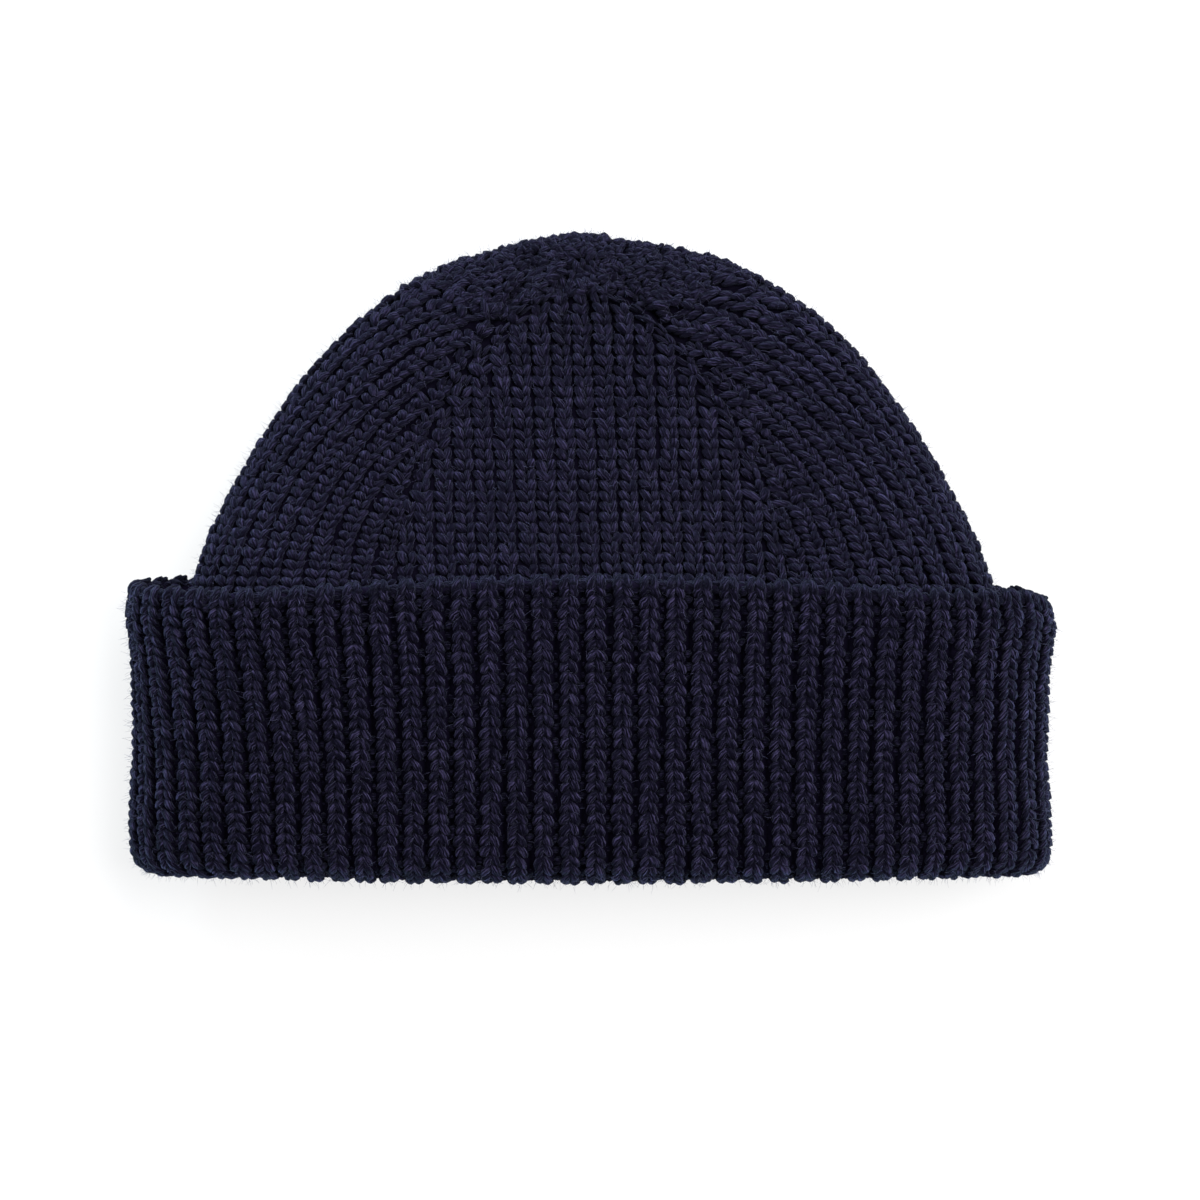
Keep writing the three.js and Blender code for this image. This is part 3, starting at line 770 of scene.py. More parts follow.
def yarn_material(name, dark, light, deepest):
    """Twisted merino: plies wound round each strand, with fine fibres between them.

    deepest is the share of its brightness that a strand keeps where it lies deepest, as painted shade. Its
    colour also follows the relief of its plies and fibres: painted shade between them and painted highlights
    on them.
    """
    made, tree, shader = material(name)
    uv = tree.nodes.new("ShaderNodeUVMap")
    uv.uv_map = "UVMap"
    parts = tree.nodes.new("ShaderNodeSeparateXYZ")
    tree.links.new(uv.outputs[0], parts.inputs[0])
    where = tree.nodes.new("ShaderNodeTexCoord").outputs["Object"]
    tone = tree.nodes.new("ShaderNodeAttribute")
    tone.attribute_name = "tone"
    wander = noise(tree, WANDER_SCALE, 1, where)
    turned = math_node(tree, "MULTIPLY", parts.outputs["Y"], TWIST)
    around = math_node(tree, "ADD", parts.outputs["X"], turned)
    around = math_node(tree, "ADD", around, math_node(tree, "MULTIPLY", wander, PLY_WANDER))
    wave = math_node(tree, "SINE", math_node(tree, "MULTIPLY", around, 2 * math.pi * PLIES))
    ply = math_node(tree, "ADD", math_node(tree, "MULTIPLY", wave, 0.5), 0.5)
    # Fibres lie along the plies, so their pattern is drawn out along the strand
    fine = tree.nodes.new("ShaderNodeCombineXYZ")
    tree.links.new(math_node(tree, "MULTIPLY", around, FIBRES), fine.inputs["X"])
    tree.links.new(math_node(tree, "MULTIPLY", parts.outputs["Y"], FIBRE_RUN), fine.inputs["Y"])
    tree.links.new(math_node(tree, "MULTIPLY", tone.outputs["Fac"], FIBRE_JUMP), fine.inputs["Z"])
    fibre = spread(tree, noise(tree, 1, 2, fine.outputs[0]), 0, 1, *FIBRE_RANGE)
    patch = spread(tree, noise(tree, PATCH_SCALE, 2, where), -PATCH_DEPTH, PATCH_DEPTH, *PATCH_RANGE)
    height = math_node(tree, "MULTIPLY", fibre, 1 - PLY_SHARE)
    height = math_node(tree, "ADD", height, math_node(tree, "MULTIPLY", ply, PLY_SHARE))
    # The colour follows the relief of plies and fibres: painted shade between them, painted highlights on
    # them.
    shade = math_node(tree, "ADD", height, math_node(tree, "MULTIPLY", tone.outputs["Fac"], TONE_DEPTH))
    shade = math_node(tree, "ADD", shade, patch)
    shade = spread(tree, shade, 0, 1, SHADE_START, 1)
    # Painted shade: where its crest is low, a strand keeps only deepest of its brightness.
    crest = tree.nodes.new("ShaderNodeAttribute")
    crest.attribute_name = "crest"
    depth = spread(tree, crest.outputs["Fac"], deepest, 1, CREST_START, CREST_FULL)
    shade = math_node(tree, "MULTIPLY", shade, depth)
    shade = math_node(tree, "POWER", shade, SHADE_POWER)
    mix = tree.nodes.new("ShaderNodeMix")
    mix.data_type = "RGBA"
    mix.inputs[6].default_value = (*dark, 1)
    mix.inputs[7].default_value = (*light, 1)
    tree.links.new(shade, mix.inputs["Factor"])
    tree.links.new(mix.outputs[2], shader.inputs["Base Color"])
    bump = tree.nodes.new("ShaderNodeBump")
    bump.inputs["Distance"].default_value = PLY_DEPTH * MM
    bump.inputs["Strength"].default_value = 1
    tree.links.new(height, bump.inputs["Height"])
    tree.links.new(bump.outputs[0], shader.inputs["Normal"])
    shader.inputs["Roughness"].default_value = 0.85
    shader.inputs["Specular IOR Level"].default_value = 0.05
    shader.inputs["Specular Tint"].default_value = (0.55, 0.6, 1, 1)
    shader.inputs["Sheen Weight"].default_value = 0.03
    shader.inputs["Sheen Roughness"].default_value = 0.3
    shader.inputs["Sheen Tint"].default_value = (0.6, 0.68, 0.95, 1)
    return made


LOOP_SCALE = 420
LOOP_DEPTH = 0.9
LOOP_DARK = 0.5  # the darkest and lightest loops, as shares of the wall's colour
LOOP_LIGHT = 1.4


def backing_material(name, colour, crest_colour):
    """The knit behind the visible stitches, matt and loopy, coloured dark as painted shade; lighter under the
    crests, so its valleys and folds get painted shade.
    """
    made, tree, shader = material(name)
    where = tree.nodes.new("ShaderNodeTexCoord").outputs["Object"]
    loops = noise(tree, LOOP_SCALE, 3, where)
    mix = tree.nodes.new("ShaderNodeMix")
    mix.data_type = "RGBA"
    mix.inputs[6].default_value = (*(LOOP_DARK * c for c in colour), 1)
    mix.inputs[7].default_value = (*(LOOP_LIGHT * c for c in colour), 1)
    tree.links.new(loops, mix.inputs["Factor"])
    crest = tree.nodes.new("ShaderNodeAttribute")
    crest.attribute_name = "crest"
    lighter = tree.nodes.new("ShaderNodeMix")
    lighter.data_type = "RGBA"
    lighter.inputs[7].default_value = (*crest_colour, 1)
    tree.links.new(mix.outputs[2], lighter.inputs[6])
    tree.links.new(crest.outputs["Fac"], lighter.inputs["Factor"])
    tree.links.new(lighter.outputs[2], shader.inputs["Base Color"])
    bump = tree.nodes.new("ShaderNodeBump")
    bump.inputs["Distance"].default_value = LOOP_DEPTH * MM
    bump.inputs["Strength"].default_value = 0.8
    tree.links.new(loops, bump.inputs["Height"])
    tree.links.new(bump.outputs[0], shader.inputs["Normal"])
    shader.inputs["Roughness"].default_value = 0.95
    shader.inputs["Specular IOR Level"].default_value = 0
    return made


def fuzz_material(name, colour):
    """Single fibres, which catch more light than the yarn that they stand off."""
    made, _, shader = material(name)
    shader.inputs["Base Color"].default_value = (*colour, 1)
    shader.inputs["Roughness"].default_value = 0.7
    shader.inputs["Specular IOR Level"].default_value = 0.2
    return made


# The rounded fields that glow least: their middle on Y, half sizes in millimetres, and power
GLOW_FIELDS = [(-45, 136, 66, 4), (-8, 121, 110, 2)]
GLOW_RAMP = 2.5  # where the table glows most, in half sizes
TABLE_GLOW = 0.73
FAR_GLOW = (6, 9, 11)
TABLE_DARK = 0.17
TABLE_LIGHT = 0.18
GRAIN_SCALE = 3


def floor_material():
    """A pale table lit from within, so that shadows on it stay faint."""
    made, tree, shader = material("pale_table")
    where = tree.nodes.new("ShaderNodeTexCoord").outputs["Object"]
    grain = noise(tree, GRAIN_SCALE, 2, where)
    mix = tree.nodes.new("ShaderNodeMix")
    mix.data_type = "RGBA"
    mix.inputs[6].default_value = (TABLE_DARK, TABLE_DARK, TABLE_DARK, 1)
    mix.inputs[7].default_value = (TABLE_LIGHT, TABLE_LIGHT, TABLE_LIGHT, 1)
    tree.links.new(grain, mix.inputs["Factor"])
    tree.links.new(mix.outputs[2], shader.inputs["Base Color"])
    shader.inputs["Roughness"].default_value = 0.8
    shader.inputs["Specular IOR Level"].default_value = 0
    # Away from the cap the table glows far more, which shows only on the cap's outline
    parts = tree.nodes.new("ShaderNodeSeparateXYZ")
    tree.links.new(where, parts.inputs[0])
    fields = []
    for middle, half_x, half_y, power in GLOW_FIELDS:
        beyond = math_node(tree, "SUBTRACT", parts.outputs["Y"], middle * MM)
        shares = [math_node(tree, "MULTIPLY", way, 1 / (half * MM))
                  for way, half in ((parts.outputs["X"], half_x), (beyond, half_y))]
        powers = [math_node(tree, "POWER", math_node(tree, "ABSOLUTE", share), power) for share in shares]
        fields.append(math_node(tree, "ADD", *powers))
    away = math_node(tree, "MINIMUM", *fields)
    glow = tree.nodes.new("ShaderNodeMix")
    glow.data_type = "RGBA"
    glow.inputs[6].default_value = (TABLE_GLOW, TABLE_GLOW, TABLE_GLOW, 1)
    glow.inputs[7].default_value = (*FAR_GLOW, 1)
    tree.links.new(spread(tree, away, 0, 1, 1, GLOW_RAMP), glow.inputs["Factor"])
    tree.links.new(glow.outputs[2], shader.inputs["Emission Color"])
    shader.inputs["Emission Strength"].default_value = 1
    return made


# One merino in three copies: their different colours and deepest shares only set how bright each part shows,
# as painted light and shade.
crown_yarn = yarn_material("crown_merino", (0.0015, 0.0011, 0.0036), (0.0182, 0.0152, 0.037), 0.62)
rib_yarn = yarn_material("rib_merino", (0.0011, 0.0008, 0.003), (0.0265, 0.0225, 0.0535), 0.38)
rim_yarn = yarn_material("rim_merino", (0.0013, 0.001, 0.0032), (0.0175, 0.015, 0.0355), 0.66)
fuzz_yarn = fuzz_material("merino_fuzz", (0.05, 0.05, 0.095))
# The walls' dark colours are painted shade, lighter where the crests are.
crown_backing = backing_material("crown_backing", (0.0007, 0.0006, 0.0015), (0.0042, 0.0034, 0.0086))
rib_backing = backing_material("rib_backing", (0.001, 0.0008, 0.0022), (0.0045, 0.0036, 0.0094))

STITCHES = stitch_tree()


def lay(name, frames, template, yarn, seed, shift, turn, swell):
    """Lays one kind of strand on every frame and gives back the mesh."""
    cloud = point_cloud(name + "_points", *frames)
    values = {"Strand": template, "Yarn": yarn, "Seed": seed, "Shift": shift, "Turn": turn, "Swell": swell}
    return apply_tree(cloud, STITCHES, values, name)


# Fuzz: fine hairs that stand off the yarn

CROWN_HAIRS = 6500
CUFF_HAIRS = 5000
HAIR_RADIUS = 0.03
HAIR_LENGTH = (0.8, 2.6)
HAIR_ROOT = 1.0  # how deep under the crests a hair starts
HAIR_ACROSS = 2.4  # how far off a stitch's middle a hair grows
HAIR_ALONG = 1.5
HAIR_TILT = (1.4, 2.2)  # how the tilts spread between flat and upright
HAIR_CURLS = (0.25, -0.4)
HAIR_TAPER = (1, 0.85, 0.4)
EDGE_SHARE = 5  # how many times more hairs grow where the knit turns at the outline
EDGE_LEVEL = 0.6  # how far a face looks up or down where it no longer counts as turning


def make_fuzz(name, frames, count, seed):
    """Hairs on randomly chosen stitches, most of them lying nearly flat."""
    rng = np.random.default_rng(seed)
    place, across, along, out, _ = frames
    weight = 1 + EDGE_SHARE * (np.abs(out[:, 2]) < EDGE_LEVEL)
    number = count // len(HAIR_CURLS)
    made = []
    for curl in HAIR_CURLS:
        chosen = rng.choice(len(place), number, p=weight / weight.sum())
        side = rng.uniform(-HAIR_ACROSS, HAIR_ACROSS, (number, 1))
        onward = rng.uniform(-HAIR_ALONG, HAIR_ALONG, (number, 1))
        up = out[chosen]
        root = place[chosen] + across[chosen] * side + along[chosen] * onward - up * HAIR_ROOT
        way = rng.normal(0, 1, (number, 3))
        way = unit(way - (way * up).sum(axis=1, keepdims=True) * up)
        tilt = rng.beta(*HAIR_TILT, (number, 1)) * math.pi / 2
        way = way * np.cos(tilt) + up * np.sin(tilt)
        beside = unit(np.cross(way, rng.normal(0, 1, (number, 3))))
        length = rng.uniform(*HAIR_LENGTH, (number, 1)) + HAIR_ROOT * np.sin(tilt)
        path = [(curl * t * t, t, curl * 0.5 * t ** 3) for t in (0, 0.55, 1)]
        hair = mesh_object("hair", *strand(path, HAIR_RADIUS * np.array(HAIR_TAPER), 3))
        hair_frames = (root, beside, way * length, np.cross(beside, way), np.zeros(number))
        made.append(lay(name + "_part", hair_frames, hair, fuzz_yarn, seed, shift=0, turn=0, swell=0))
        bpy.data.objects.remove(hair)
    return join(name, made)


# The crown's stitches

GORES = ("front", "right", "back", "left")
GORE_COURSES = {"front": 31, "right": 46, "back": 37, "left": 46}  # rows from rim to closure
LONGEST_STITCH = 1.1  # as a share of a usual stitch
NARROWEST_STITCH = 0.72
EDGE_COLUMN = 0.45  # the least width of a gore's outermost columns, in stitches
TIP_STITCHES = 0.6  # the fewest stitches that a gore's row is read at
APEX_JUMBLE = 2  # how much less even the stitches are at the closure
EDGE_JUMBLE = 0.8  # and along the gores' edges
SIDE_JUMBLE = 2.2  # and in the side gores towards the closure
SIDE_COURSES = 7
WALE_GAP = 0.1  # how far the wales draw apart near the closure, as a share
CREASE_ROWS = (2.5, 8)  # rows where the front gore's edges draw back from its neighbours
DRAWN_WIDTH = 0.85  # and the width of its outermost stitches there
DRAWN_BACK = 0.08

# How far the stitches stand out of the solid's face at heights over the rim
FIT_RISES = [-14, -6, 0, 8, 30, 50, 64, 80, 90, 94]
FIT_LEFT = [0, 0, 0, 0, 0.1, 0.4, 0.6, 0.6, 0.3, 0.1]
FIT_RIGHT = [0, 0.8, 1.7, 0.7, 0.3, 0.6, 0.9, 0.7, 0.3, 0.1]

# The gathered knit at the top: how far it reaches from the closure
GATHER_HALF = 36
GATHER_RISE = 12
GATHER_DROP = 5.5
SIDE_DROP = 7  # how much further down it comes to the sides, and where that starts and is full
SIDE_START = 9
SIDE_RUN = 12
EDGE_HALF = 44  # the band along the tip's own edge
EDGE_BAND = 3.2
GATHER_LAP = 2.2  # how far it lies over the rows

# And its stitches
GATHER_SEED = 21
GATHER_PITCH = 2.9
GATHER_ROW = 2.05
GATHER_LIFT = (-0.3, 0.6)
GATHER_TURN = 0.35
GATHER_ROWS = (-3, 12)
GATHER_COLUMNS = 18  # to each side
GATHER_JITTER = 0.25
GATHER_START = 0.4
GATHER_AIM = 2.5  # how far off the closure the stitches point
GATHER_SIZES = (0.75, 1.0)
GATHER_WIDTH = 0.85


def is_gathered(x, y, run, margin=0.0):
    """Whether a place in plan, at a run of cloth from the fold, is in the gathered knit."""
    off_x, off_y = x - CLOSURE_X, y - CLOSURE_Y
    drop = GATHER_DROP + SIDE_DROP * smoothstep(np.abs(off_x), SIDE_START, SIDE_START + SIDE_RUN)
    reach = np.where(off_y > 0, GATHER_RISE, drop)
    near = (off_x / (GATHER_HALF + margin)) ** 2 + (off_y / (reach + margin)) ** 2 < 1
    # The side gores' middle columns leave the outline here, and what lies over them is gathered too
    leave_x = CROWN_HALF * LEAVE_SHARE
    line = lerp(CLOSURE_Y, outline_top(leave_x), np.minimum(1, np.abs(off_x) / leave_x))
    over = (np.abs(off_x) < leave_x) & (y > line - margin)
    return near | (np.abs(off_x) < EDGE_HALF + margin) & (run < EDGE_BAND + margin) | over


def fold_run(distance, end, height):
    """The run of cloth from a side fold to a place so far in, seen from above."""
    cosine = 1 - np.clip(distance / end, 0, 1)
    return (end + height) / 2 * np.arccos(cosine) + np.maximum(0, distance - end)


def gathered_frames():
    """Small jumbled stitches at the top, drawn towards the closure."""
    rng = np.random.default_rng(GATHER_SEED)
    found = []
    columns = np.arange(-GATHER_COLUMNS, GATHER_COLUMNS + 1)
    for k, row in enumerate(range(*GATHER_ROWS)):
        around = columns + (k % 2) / 2 + rng.uniform(-GATHER_JITTER, GATHER_JITTER, len(columns))
        aside = rng.uniform(-GATHER_JITTER, GATHER_JITTER, len(columns))
        run = (row + GATHER_START + aside) * GATHER_ROW
        upper = run >= 0
        edge = outline_places(around * GATHER_PITCH)
        step = unit(outline_places(around * GATHER_PITCH + 1) - edge)
        inward = np.stack([step[:, 1], -step[:, 0]], axis=1)
        in_by = fold_offset(np.abs(run), TIP_TOP_END, TIP_THICKNESS / 2)
        plan = edge + inward * in_by[:, None]
        inside = is_gathered(plan[:, 0], plan[:, 1], np.abs(run), GATHER_LAP)
        place = crown_points(plan[:, 0], plan[:, 1], upper, 0.0)
        # Each frame's own way lies towards the closure, turned a little at random
        top = crown_points(plan[:, 0], plan[:, 1], upper, 1.0) - place
        way = np.stack([CLOSURE_X - plan[:, 0], CLOSURE_Y - plan[:, 1], 0 * run], axis=1)
        way += rng.normal(0, GATHER_AIM, way.shape)
        along = unit(way - (way * top).sum(axis=1, keepdims=True) * top)
        turn = rng.normal(0, GATHER_TURN, (len(run), 1))
        across = np.cross(along, top)
        sine, cosine = np.sin(turn), np.cos(turn)
        along, across = along * cosine + across * sine, across * cosine - along * sine
        size = rng.uniform(*GATHER_SIZES, (len(run), 1))
        place = place + top * rng.uniform(*GATHER_LIFT, (len(run), 1))
        rows = (place, across * size * GATHER_WIDTH, along * size, top, np.ones(len(run)), upper)
        found.append([part[inside] for part in rows])
    return [np.concatenate(part) for part in zip(*found)]


def crown_frames():
    """Where each stitch of the crown lies: place, across, along, out and jumble, and its side."""
    found = []
    for gore in GORES:
        courses = GORE_COURSES[gore]
        for course in range(1, courses + HIDDEN_COURSES - 2):
            # Where that row lies on the crown's own rows
            row, half_row = course * COURSES / courses, COURSES / courses / 2
            stitches = gore_stitches(row)
            half = stitches / 2
            inner = max(0, math.floor(half - (0.5 + EDGE_COLUMN)))
            middle = np.arange(-inner, inner + 1)
            low = np.array([-half, *(middle - 0.5), inner + 0.5]) / stitches
            high = np.array([-inner - 0.5, *(middle + 0.5), half]) / stitches
            mid = (low + high) / 2
            edge = np.arange(len(mid)) % (len(mid) - 1) == 0
            # Inner columns run straight, and the outermost follow the gore's edge
            before = np.where(edge, mid, mid * stitches / gore_stitches(row + half_row))
            after = np.where(edge, mid, mid * stitches / max(gore_stitches(row - half_row), TIP_STITCHES))
            place, on_top = crown_row(gore, mid, row)
            a = crown_row(gore, high, row)[0] - crown_row(gore, low, row)[0]
            wide = np.linalg.norm(a, axis=1, keepdims=True) / WALE_WIDTH
            a *= np.maximum(1, NARROWEST_STITCH / np.maximum(wide, SAME_PLACE))
            b = crown_row(gore, after, row - half_row)[0] - crown_row(gore, before, row + half_row)[0]
            long = np.linalg.norm(b, axis=1, keepdims=True) / CROWN_ROW
            b *= np.minimum(1, LONGEST_STITCH / np.maximum(long, SAME_PLACE))
            n = unit(np.cross(a, b))
            jumble = np.full(len(mid), 1 + APEX_JUMBLE * math.exp(-row / GATHER_COURSES)) + edge * EDGE_JUMBLE
            if gore in ("left", "right"):
                jumble += SIDE_JUMBLE * math.exp(-row / SIDE_COURSES)
            if gore == "front":
                a *= 1 - WALE_GAP * math.exp(-((row - CREASE_ROWS[0]) / GATHER_COURSES))
                if CREASE_ROWS[0] < row < CREASE_ROWS[1]:
                    a[edge] *= DRAWN_WIDTH
                    place[edge] -= np.sign(mid[edge])[:, None] * a[edge] * DRAWN_BACK
            # The gathered knit takes the place of the last rows
            distance = outline_distance(place[:, 0], place[:, 1])[0]
            run = fold_run(distance, TIP_TOP_END, TIP_THICKNESS / 2)
            keep = ~is_gathered(place[:, 0], place[:, 1], run)
            rows = (place, a / WALE_WIDTH, b / CROWN_ROW, n, jumble, on_top)
            found.append([part[keep] for part in rows])
    found.append(gathered_frames())
    place, across, along, out, jumble, on_top = (np.concatenate(part) for part in zip(*found))
    right_fit = np.interp(place[:, 1] - RIM_Y, FIT_RISES, FIT_RIGHT)
    left_fit = np.interp(place[:, 1] - RIM_Y, FIT_RISES, FIT_LEFT)
    place = place + out * np.where(place[:, 0] > 0, right_fit, left_fit)[:, None]
    return place, across, along, out, jumble, on_top


def pick(frames, chosen):
    return [part[chosen] for part in frames]


def lay_legs(name, frames, legs, yarn, rings, sides):
    """Lays a stitch's two legs on every frame and joins them into one piece."""
    laid = []
    for label, (shape, straying) in legs.items():
        template = leg(f"{name}_{label}", rings=rings, sides=sides, **shape)
        laid.append(lay(f"{name}_{label}_laid", frames, template, yarn, **straying))
        bpy.data.objects.remove(template)
    return join(name, laid)


# A plain stitch's two legs, and how far each kind strays
CROWN_LEGS = {
    "wide": (
        dict(start=(0.85, -1.5), end=(-1.85, 1.15), radius=1.28, low=(-2.1, -2.2), high=-1.0, lean=-0.1),
        dict(seed=3, shift=0.1, turn=0.16, swell=0.15),
    ),
    "narrow": (
        dict(start=(1.4, -1.6), end=(1.7, 1.65), radius=1.14, low=(-2.1, -2.3), high=-0.95, lean=0.1),
        dict(seed=4, shift=0.08, turn=0.12, swell=0.15),
    ),
}


def make_crown_stitches():
    *frames, upper = crown_frames()
    return [
        make_fuzz("crown_fuzz", frames, CROWN_HAIRS, seed=31),
        lay_legs("crown_upper_stitches", pick(frames, upper), CROWN_LEGS, crown_yarn, rings=5, sides=7),
        lay_legs("crown_under_stitches", pick(frames, ~upper), CROWN_LEGS, crown_yarn, rings=4, sides=5),
    ]


# The rib's stitches

def rib_share(rib):
    """Share of the way round of a rib, a little wider set in the middle of each side."""
    share = rib / RIB_COUNT
    return share + PITCH_SWING * np.sin(4 * math.pi * share)


def rib_frames(offset, runs):
    """Frames at so many pitches off each rib's middle, with along pointing away from the rim."""
    ribs = np.arange(RIB_COUNT) + offset
    middle = rib_share(ribs)
    places, across, along, out = [], [], [], []
    for run in runs:
        a = cuff_row(run, rib_share(ribs - 0.5)) - cuff_row(run, rib_share(ribs + 0.5))
        b = cuff_row(run + RIB_ROW / 2, middle) - cuff_row(run - RIB_ROW / 2, middle)
        places.append(cuff_row(run, middle))
        across.append(a / RIB_PITCH)
        along.append(b / RIB_ROW)
        out.append(unit(np.cross(a, b)))
    jumble = [np.ones(len(runs) * RIB_COUNT)]
    return [np.concatenate(part) for part in (places, across, along, out, jumble)]


# A rib stitch's two legs, and how far each kind strays
RIB_LEG = dict(low=(-1.8, -2.8), peak=0.55)
RIB_LEGS = {
    "wide": (
        dict(start=(0.5, -1.75), end=(-1.9, 1.2), radius=1.14, high=-1.0, lean=-0.4, **RIB_LEG),
        dict(seed=5, shift=0.08, turn=0.12, swell=0.12),
    ),
    "short": (
        dict(start=(0.05, -1.65), end=(1.7, 1.3), radius=1.18, high=-1.05, lean=0.4, **RIB_LEG),
        dict(seed=6, shift=0.08, turn=0.12, swell=0.12),
    ),
}
FOLD_SHARE = 0.62  # how far round the bottom fold the outside goes
BUMP_START = 2  # how far under the rim's last strands the purl bumps start


def make_purl_bumps(last_run):
    """Short strands across the valleys between the ribs."""
    runs = np.arange(LINK_RUNS[-1] + BUMP_START, last_run, RIB_ROW)
    frames = rib_frames(0.5, runs)
    shallow = BUMP_RISE * np.clip(1 - runs / BUMP_FADE, 0, 1)
    frames[0] = frames[0] + frames[3] * np.repeat(shallow, RIB_COUNT)[:, None]
    # The bumps lie in the valleys, so their crest is scaled down for painted shade.
    bump = leg("purl_bump", start=(-1.1, -0.6), end=(1.4, 0.5), radius=1.15, low=(-3.6, -3.6), high=-3.0,
               rings=3, sides=5, lit_share=0.54)
    laid = lay("cuff_purl_bumps", frames, bump, rib_yarn, seed=7, shift=0.2, turn=0.35, swell=0.3)
    bpy.data.objects.remove(bump)
    return laid


def make_cast_on_edge():
    """Long smooth loops at the rib tops, and a cord of strands along the rim and over it."""
    tall = dict(radius=1.15, low=(-2.1, -2.1), high=-1.05, rings=6, sides=7)
    left = leg("edge_left", start=(0.5, -2.4), end=(1.4, 1.9), lean=0.35, **tall)
    right = leg("edge_right", start=(-0.5, -2.4), end=(-1.45, 1.7), lean=-0.35, **tall)
    # The filling and the links lie deep, so their crest is scaled down for painted shade.
    filling = leg("edge_filling", start=(0, -2.2), end=(0.1, 2.0), radius=1.0, low=(-2.2, -2.2), high=-1.7,
                  rings=4, sides=5, lit_share=0.85)
    cap = leg("edge_cap", start=(-1.8, 1.6), end=(1.8, 1.6), radius=1.15, low=(-2.0, -2.0), high=-1.15,
              rings=6, sides=6, arch=1.6)
    link = leg("edge_link", start=(-1.9, 0.5), end=(1.9, -0.5), radius=1.15, low=(-2.5, -2.5), high=-1.5,
               rings=4, sides=6, lit_share=0.8)
    tops = rib_frames(0, [LOOP_RUN])
    laid = [
        lay("edge_loops", tops, template, rim_yarn, seed, shift=0.04, turn=0.04, swell=0.06)
        for template, seed in ((left, 8), (right, 9), (filling, 15))
    ]
    caps = rib_frames(0, [CAP_RUN])
    laid.append(lay("edge_caps", caps, cap, rim_yarn, seed=10, shift=0.1, turn=0.12, swell=0.12))
    for k, (run, drop) in enumerate(zip(LINK_RUNS, LINK_DROPS)):
        between = rib_frames(0.5, [run])
        between[0] = between[0] - between[3] * drop
        laid.append(lay("edge_links", between, link, rim_yarn, seed=11 + k, shift=0.14, turn=0.2, swell=0.2))
    for k, run in enumerate(TURN_RUNS):
        for offset in (0, 0.5):
            over = rib_frames(offset, [run])
            laid.append(lay("edge_turns", over, link, rim_yarn, seed=16 + k, shift=0.08, turn=0.1, swell=0.1))
    for template in (left, right, filling, cap, link):
        bpy.data.objects.remove(template)
    return join("cuff_cast_on_edge", laid)


def make_rib_stitches():
    runs = np.arange(FIRST_RUN, FOLD_END + INNER_ROWS * RIB_ROW, RIB_ROW)
    frames = rib_frames(0, runs)
    run_of = np.repeat(runs, RIB_COUNT)
    outside = run_of < FACE_END + FOLD_RADIUS * math.pi * FOLD_SHARE
    upper = np.where(run_of > FACE_END, frames[0][:, 2] > MOUTH_THICKNESS / 2, frames[3][:, 2] > 0)
    front = pick(frames, outside & upper)
    back = pick(frames, outside & ~upper)
    inside = pick(frames, ~outside)
    return [
        lay_legs("cuff_upper_stitches", front, RIB_LEGS, rib_yarn, rings=5, sides=7),
        lay_legs("cuff_under_stitches", back, RIB_LEGS, rib_yarn, rings=4, sides=5),
        lay_legs("cuff_inside_stitches", inside, RIB_LEGS, rib_yarn, rings=4, sides=4),
        make_purl_bumps(runs[-1]),
        make_cast_on_edge(),
        make_fuzz("cuff_fuzz", pick(frames, outside), CUFF_HAIRS, seed=32),
    ]


# The walls of knit under the stitches, coloured dark as painted shade

CROWN_SINK = 1.75  # how deep under the solid's face each wall lies
TIP_SINK = 1.9
RIM_SINK = 1.2
RIB_SINK = 1.45
VALLEY_SINK = RIB_RELIEF - 0.85  # how much deeper it is between the ribs
VALLEY_START = 0.35  # where a valley starts and is full, between a rib's middle and the valley's
VALLEY_FULL = 0.85
# The crown wall's colour lies halfway between its two, both painted shade, and the folds darken it more.
WALL_CREST = 0.5  # where the crown wall's shade lies between its two colours
WALL_COLUMNS = 38  # in each gore
FINE_ROWS = 6  # the last rows, which have others between them
TIP_COLUMNS = 16  # to each side
TIP_RUNS = (-8, 21, 2)
PER_RIB = 4
RIM_STEP = 1.8
FACE_STEP = 2.6
SLOT_RINGS = 8  # on each side of the slot between the cuff's layers
SLOT_GAP = 0.2
END_GAP = 0.3  # from the crown's base
SLOT_START = 2
SLOT_END = 1.5


def grid_faces(rows, columns, flip=False):
    """Quads of a grid that is closed across."""
    faces = []
    for i in range(rows - 1):
        for k in range(columns):
            a, b = i * columns + k, i * columns + (k + 1) % columns
            quad = (a, b, b + columns, a + columns)
            faces.append(quad[::-1] if flip else quad)
    return faces


def make_crown_wall():
    """Outer and inner faces of the crown's wall, joined at the base and closed at the top."""
    across = np.arange(WALL_COLUMNS) / WALL_COLUMNS - 0.5
    rows = [*np.arange(COURSES + HIDDEN_COURSES, FINE_ROWS, -1), *np.arange(FINE_ROWS, 0.9, -0.5)]
    outer, inner = [], []
    for row in rows:
        outer.append(np.vstack([crown_row(gore, across, row, -CROWN_SINK)[0] for gore in GORES]))
        inner.append(np.vstack([crown_row(gore, across, row, -CROWN_WALL)[0] for gore in GORES]))
    count = len(GORES) * WALL_COLUMNS
    verts = np.vstack([*inner[::-1], *outer])
    faces = grid_faces(len(rows) * 2, count)
    tips = [inner[-1].mean(axis=0), outer[-1].mean(axis=0)]
    first, last = 0, (2 * len(rows) - 1) * count
    for k in range(count):
        after = (k + 1) % count
        faces.append((len(verts), first + after, first + k))
        faces.append((len(verts) + 1, last + k, last + after))
    verts = np.vstack([verts, tips])
    patch, patch_faces = gathered_wall(len(verts))
    wall = mesh_object("crown_wall", np.vstack([verts, patch]), faces + patch_faces)
    set_crest(wall, np.full(len(wall.data.vertices), WALL_CREST))
    wall.data.materials.append(crown_backing)
    return wall


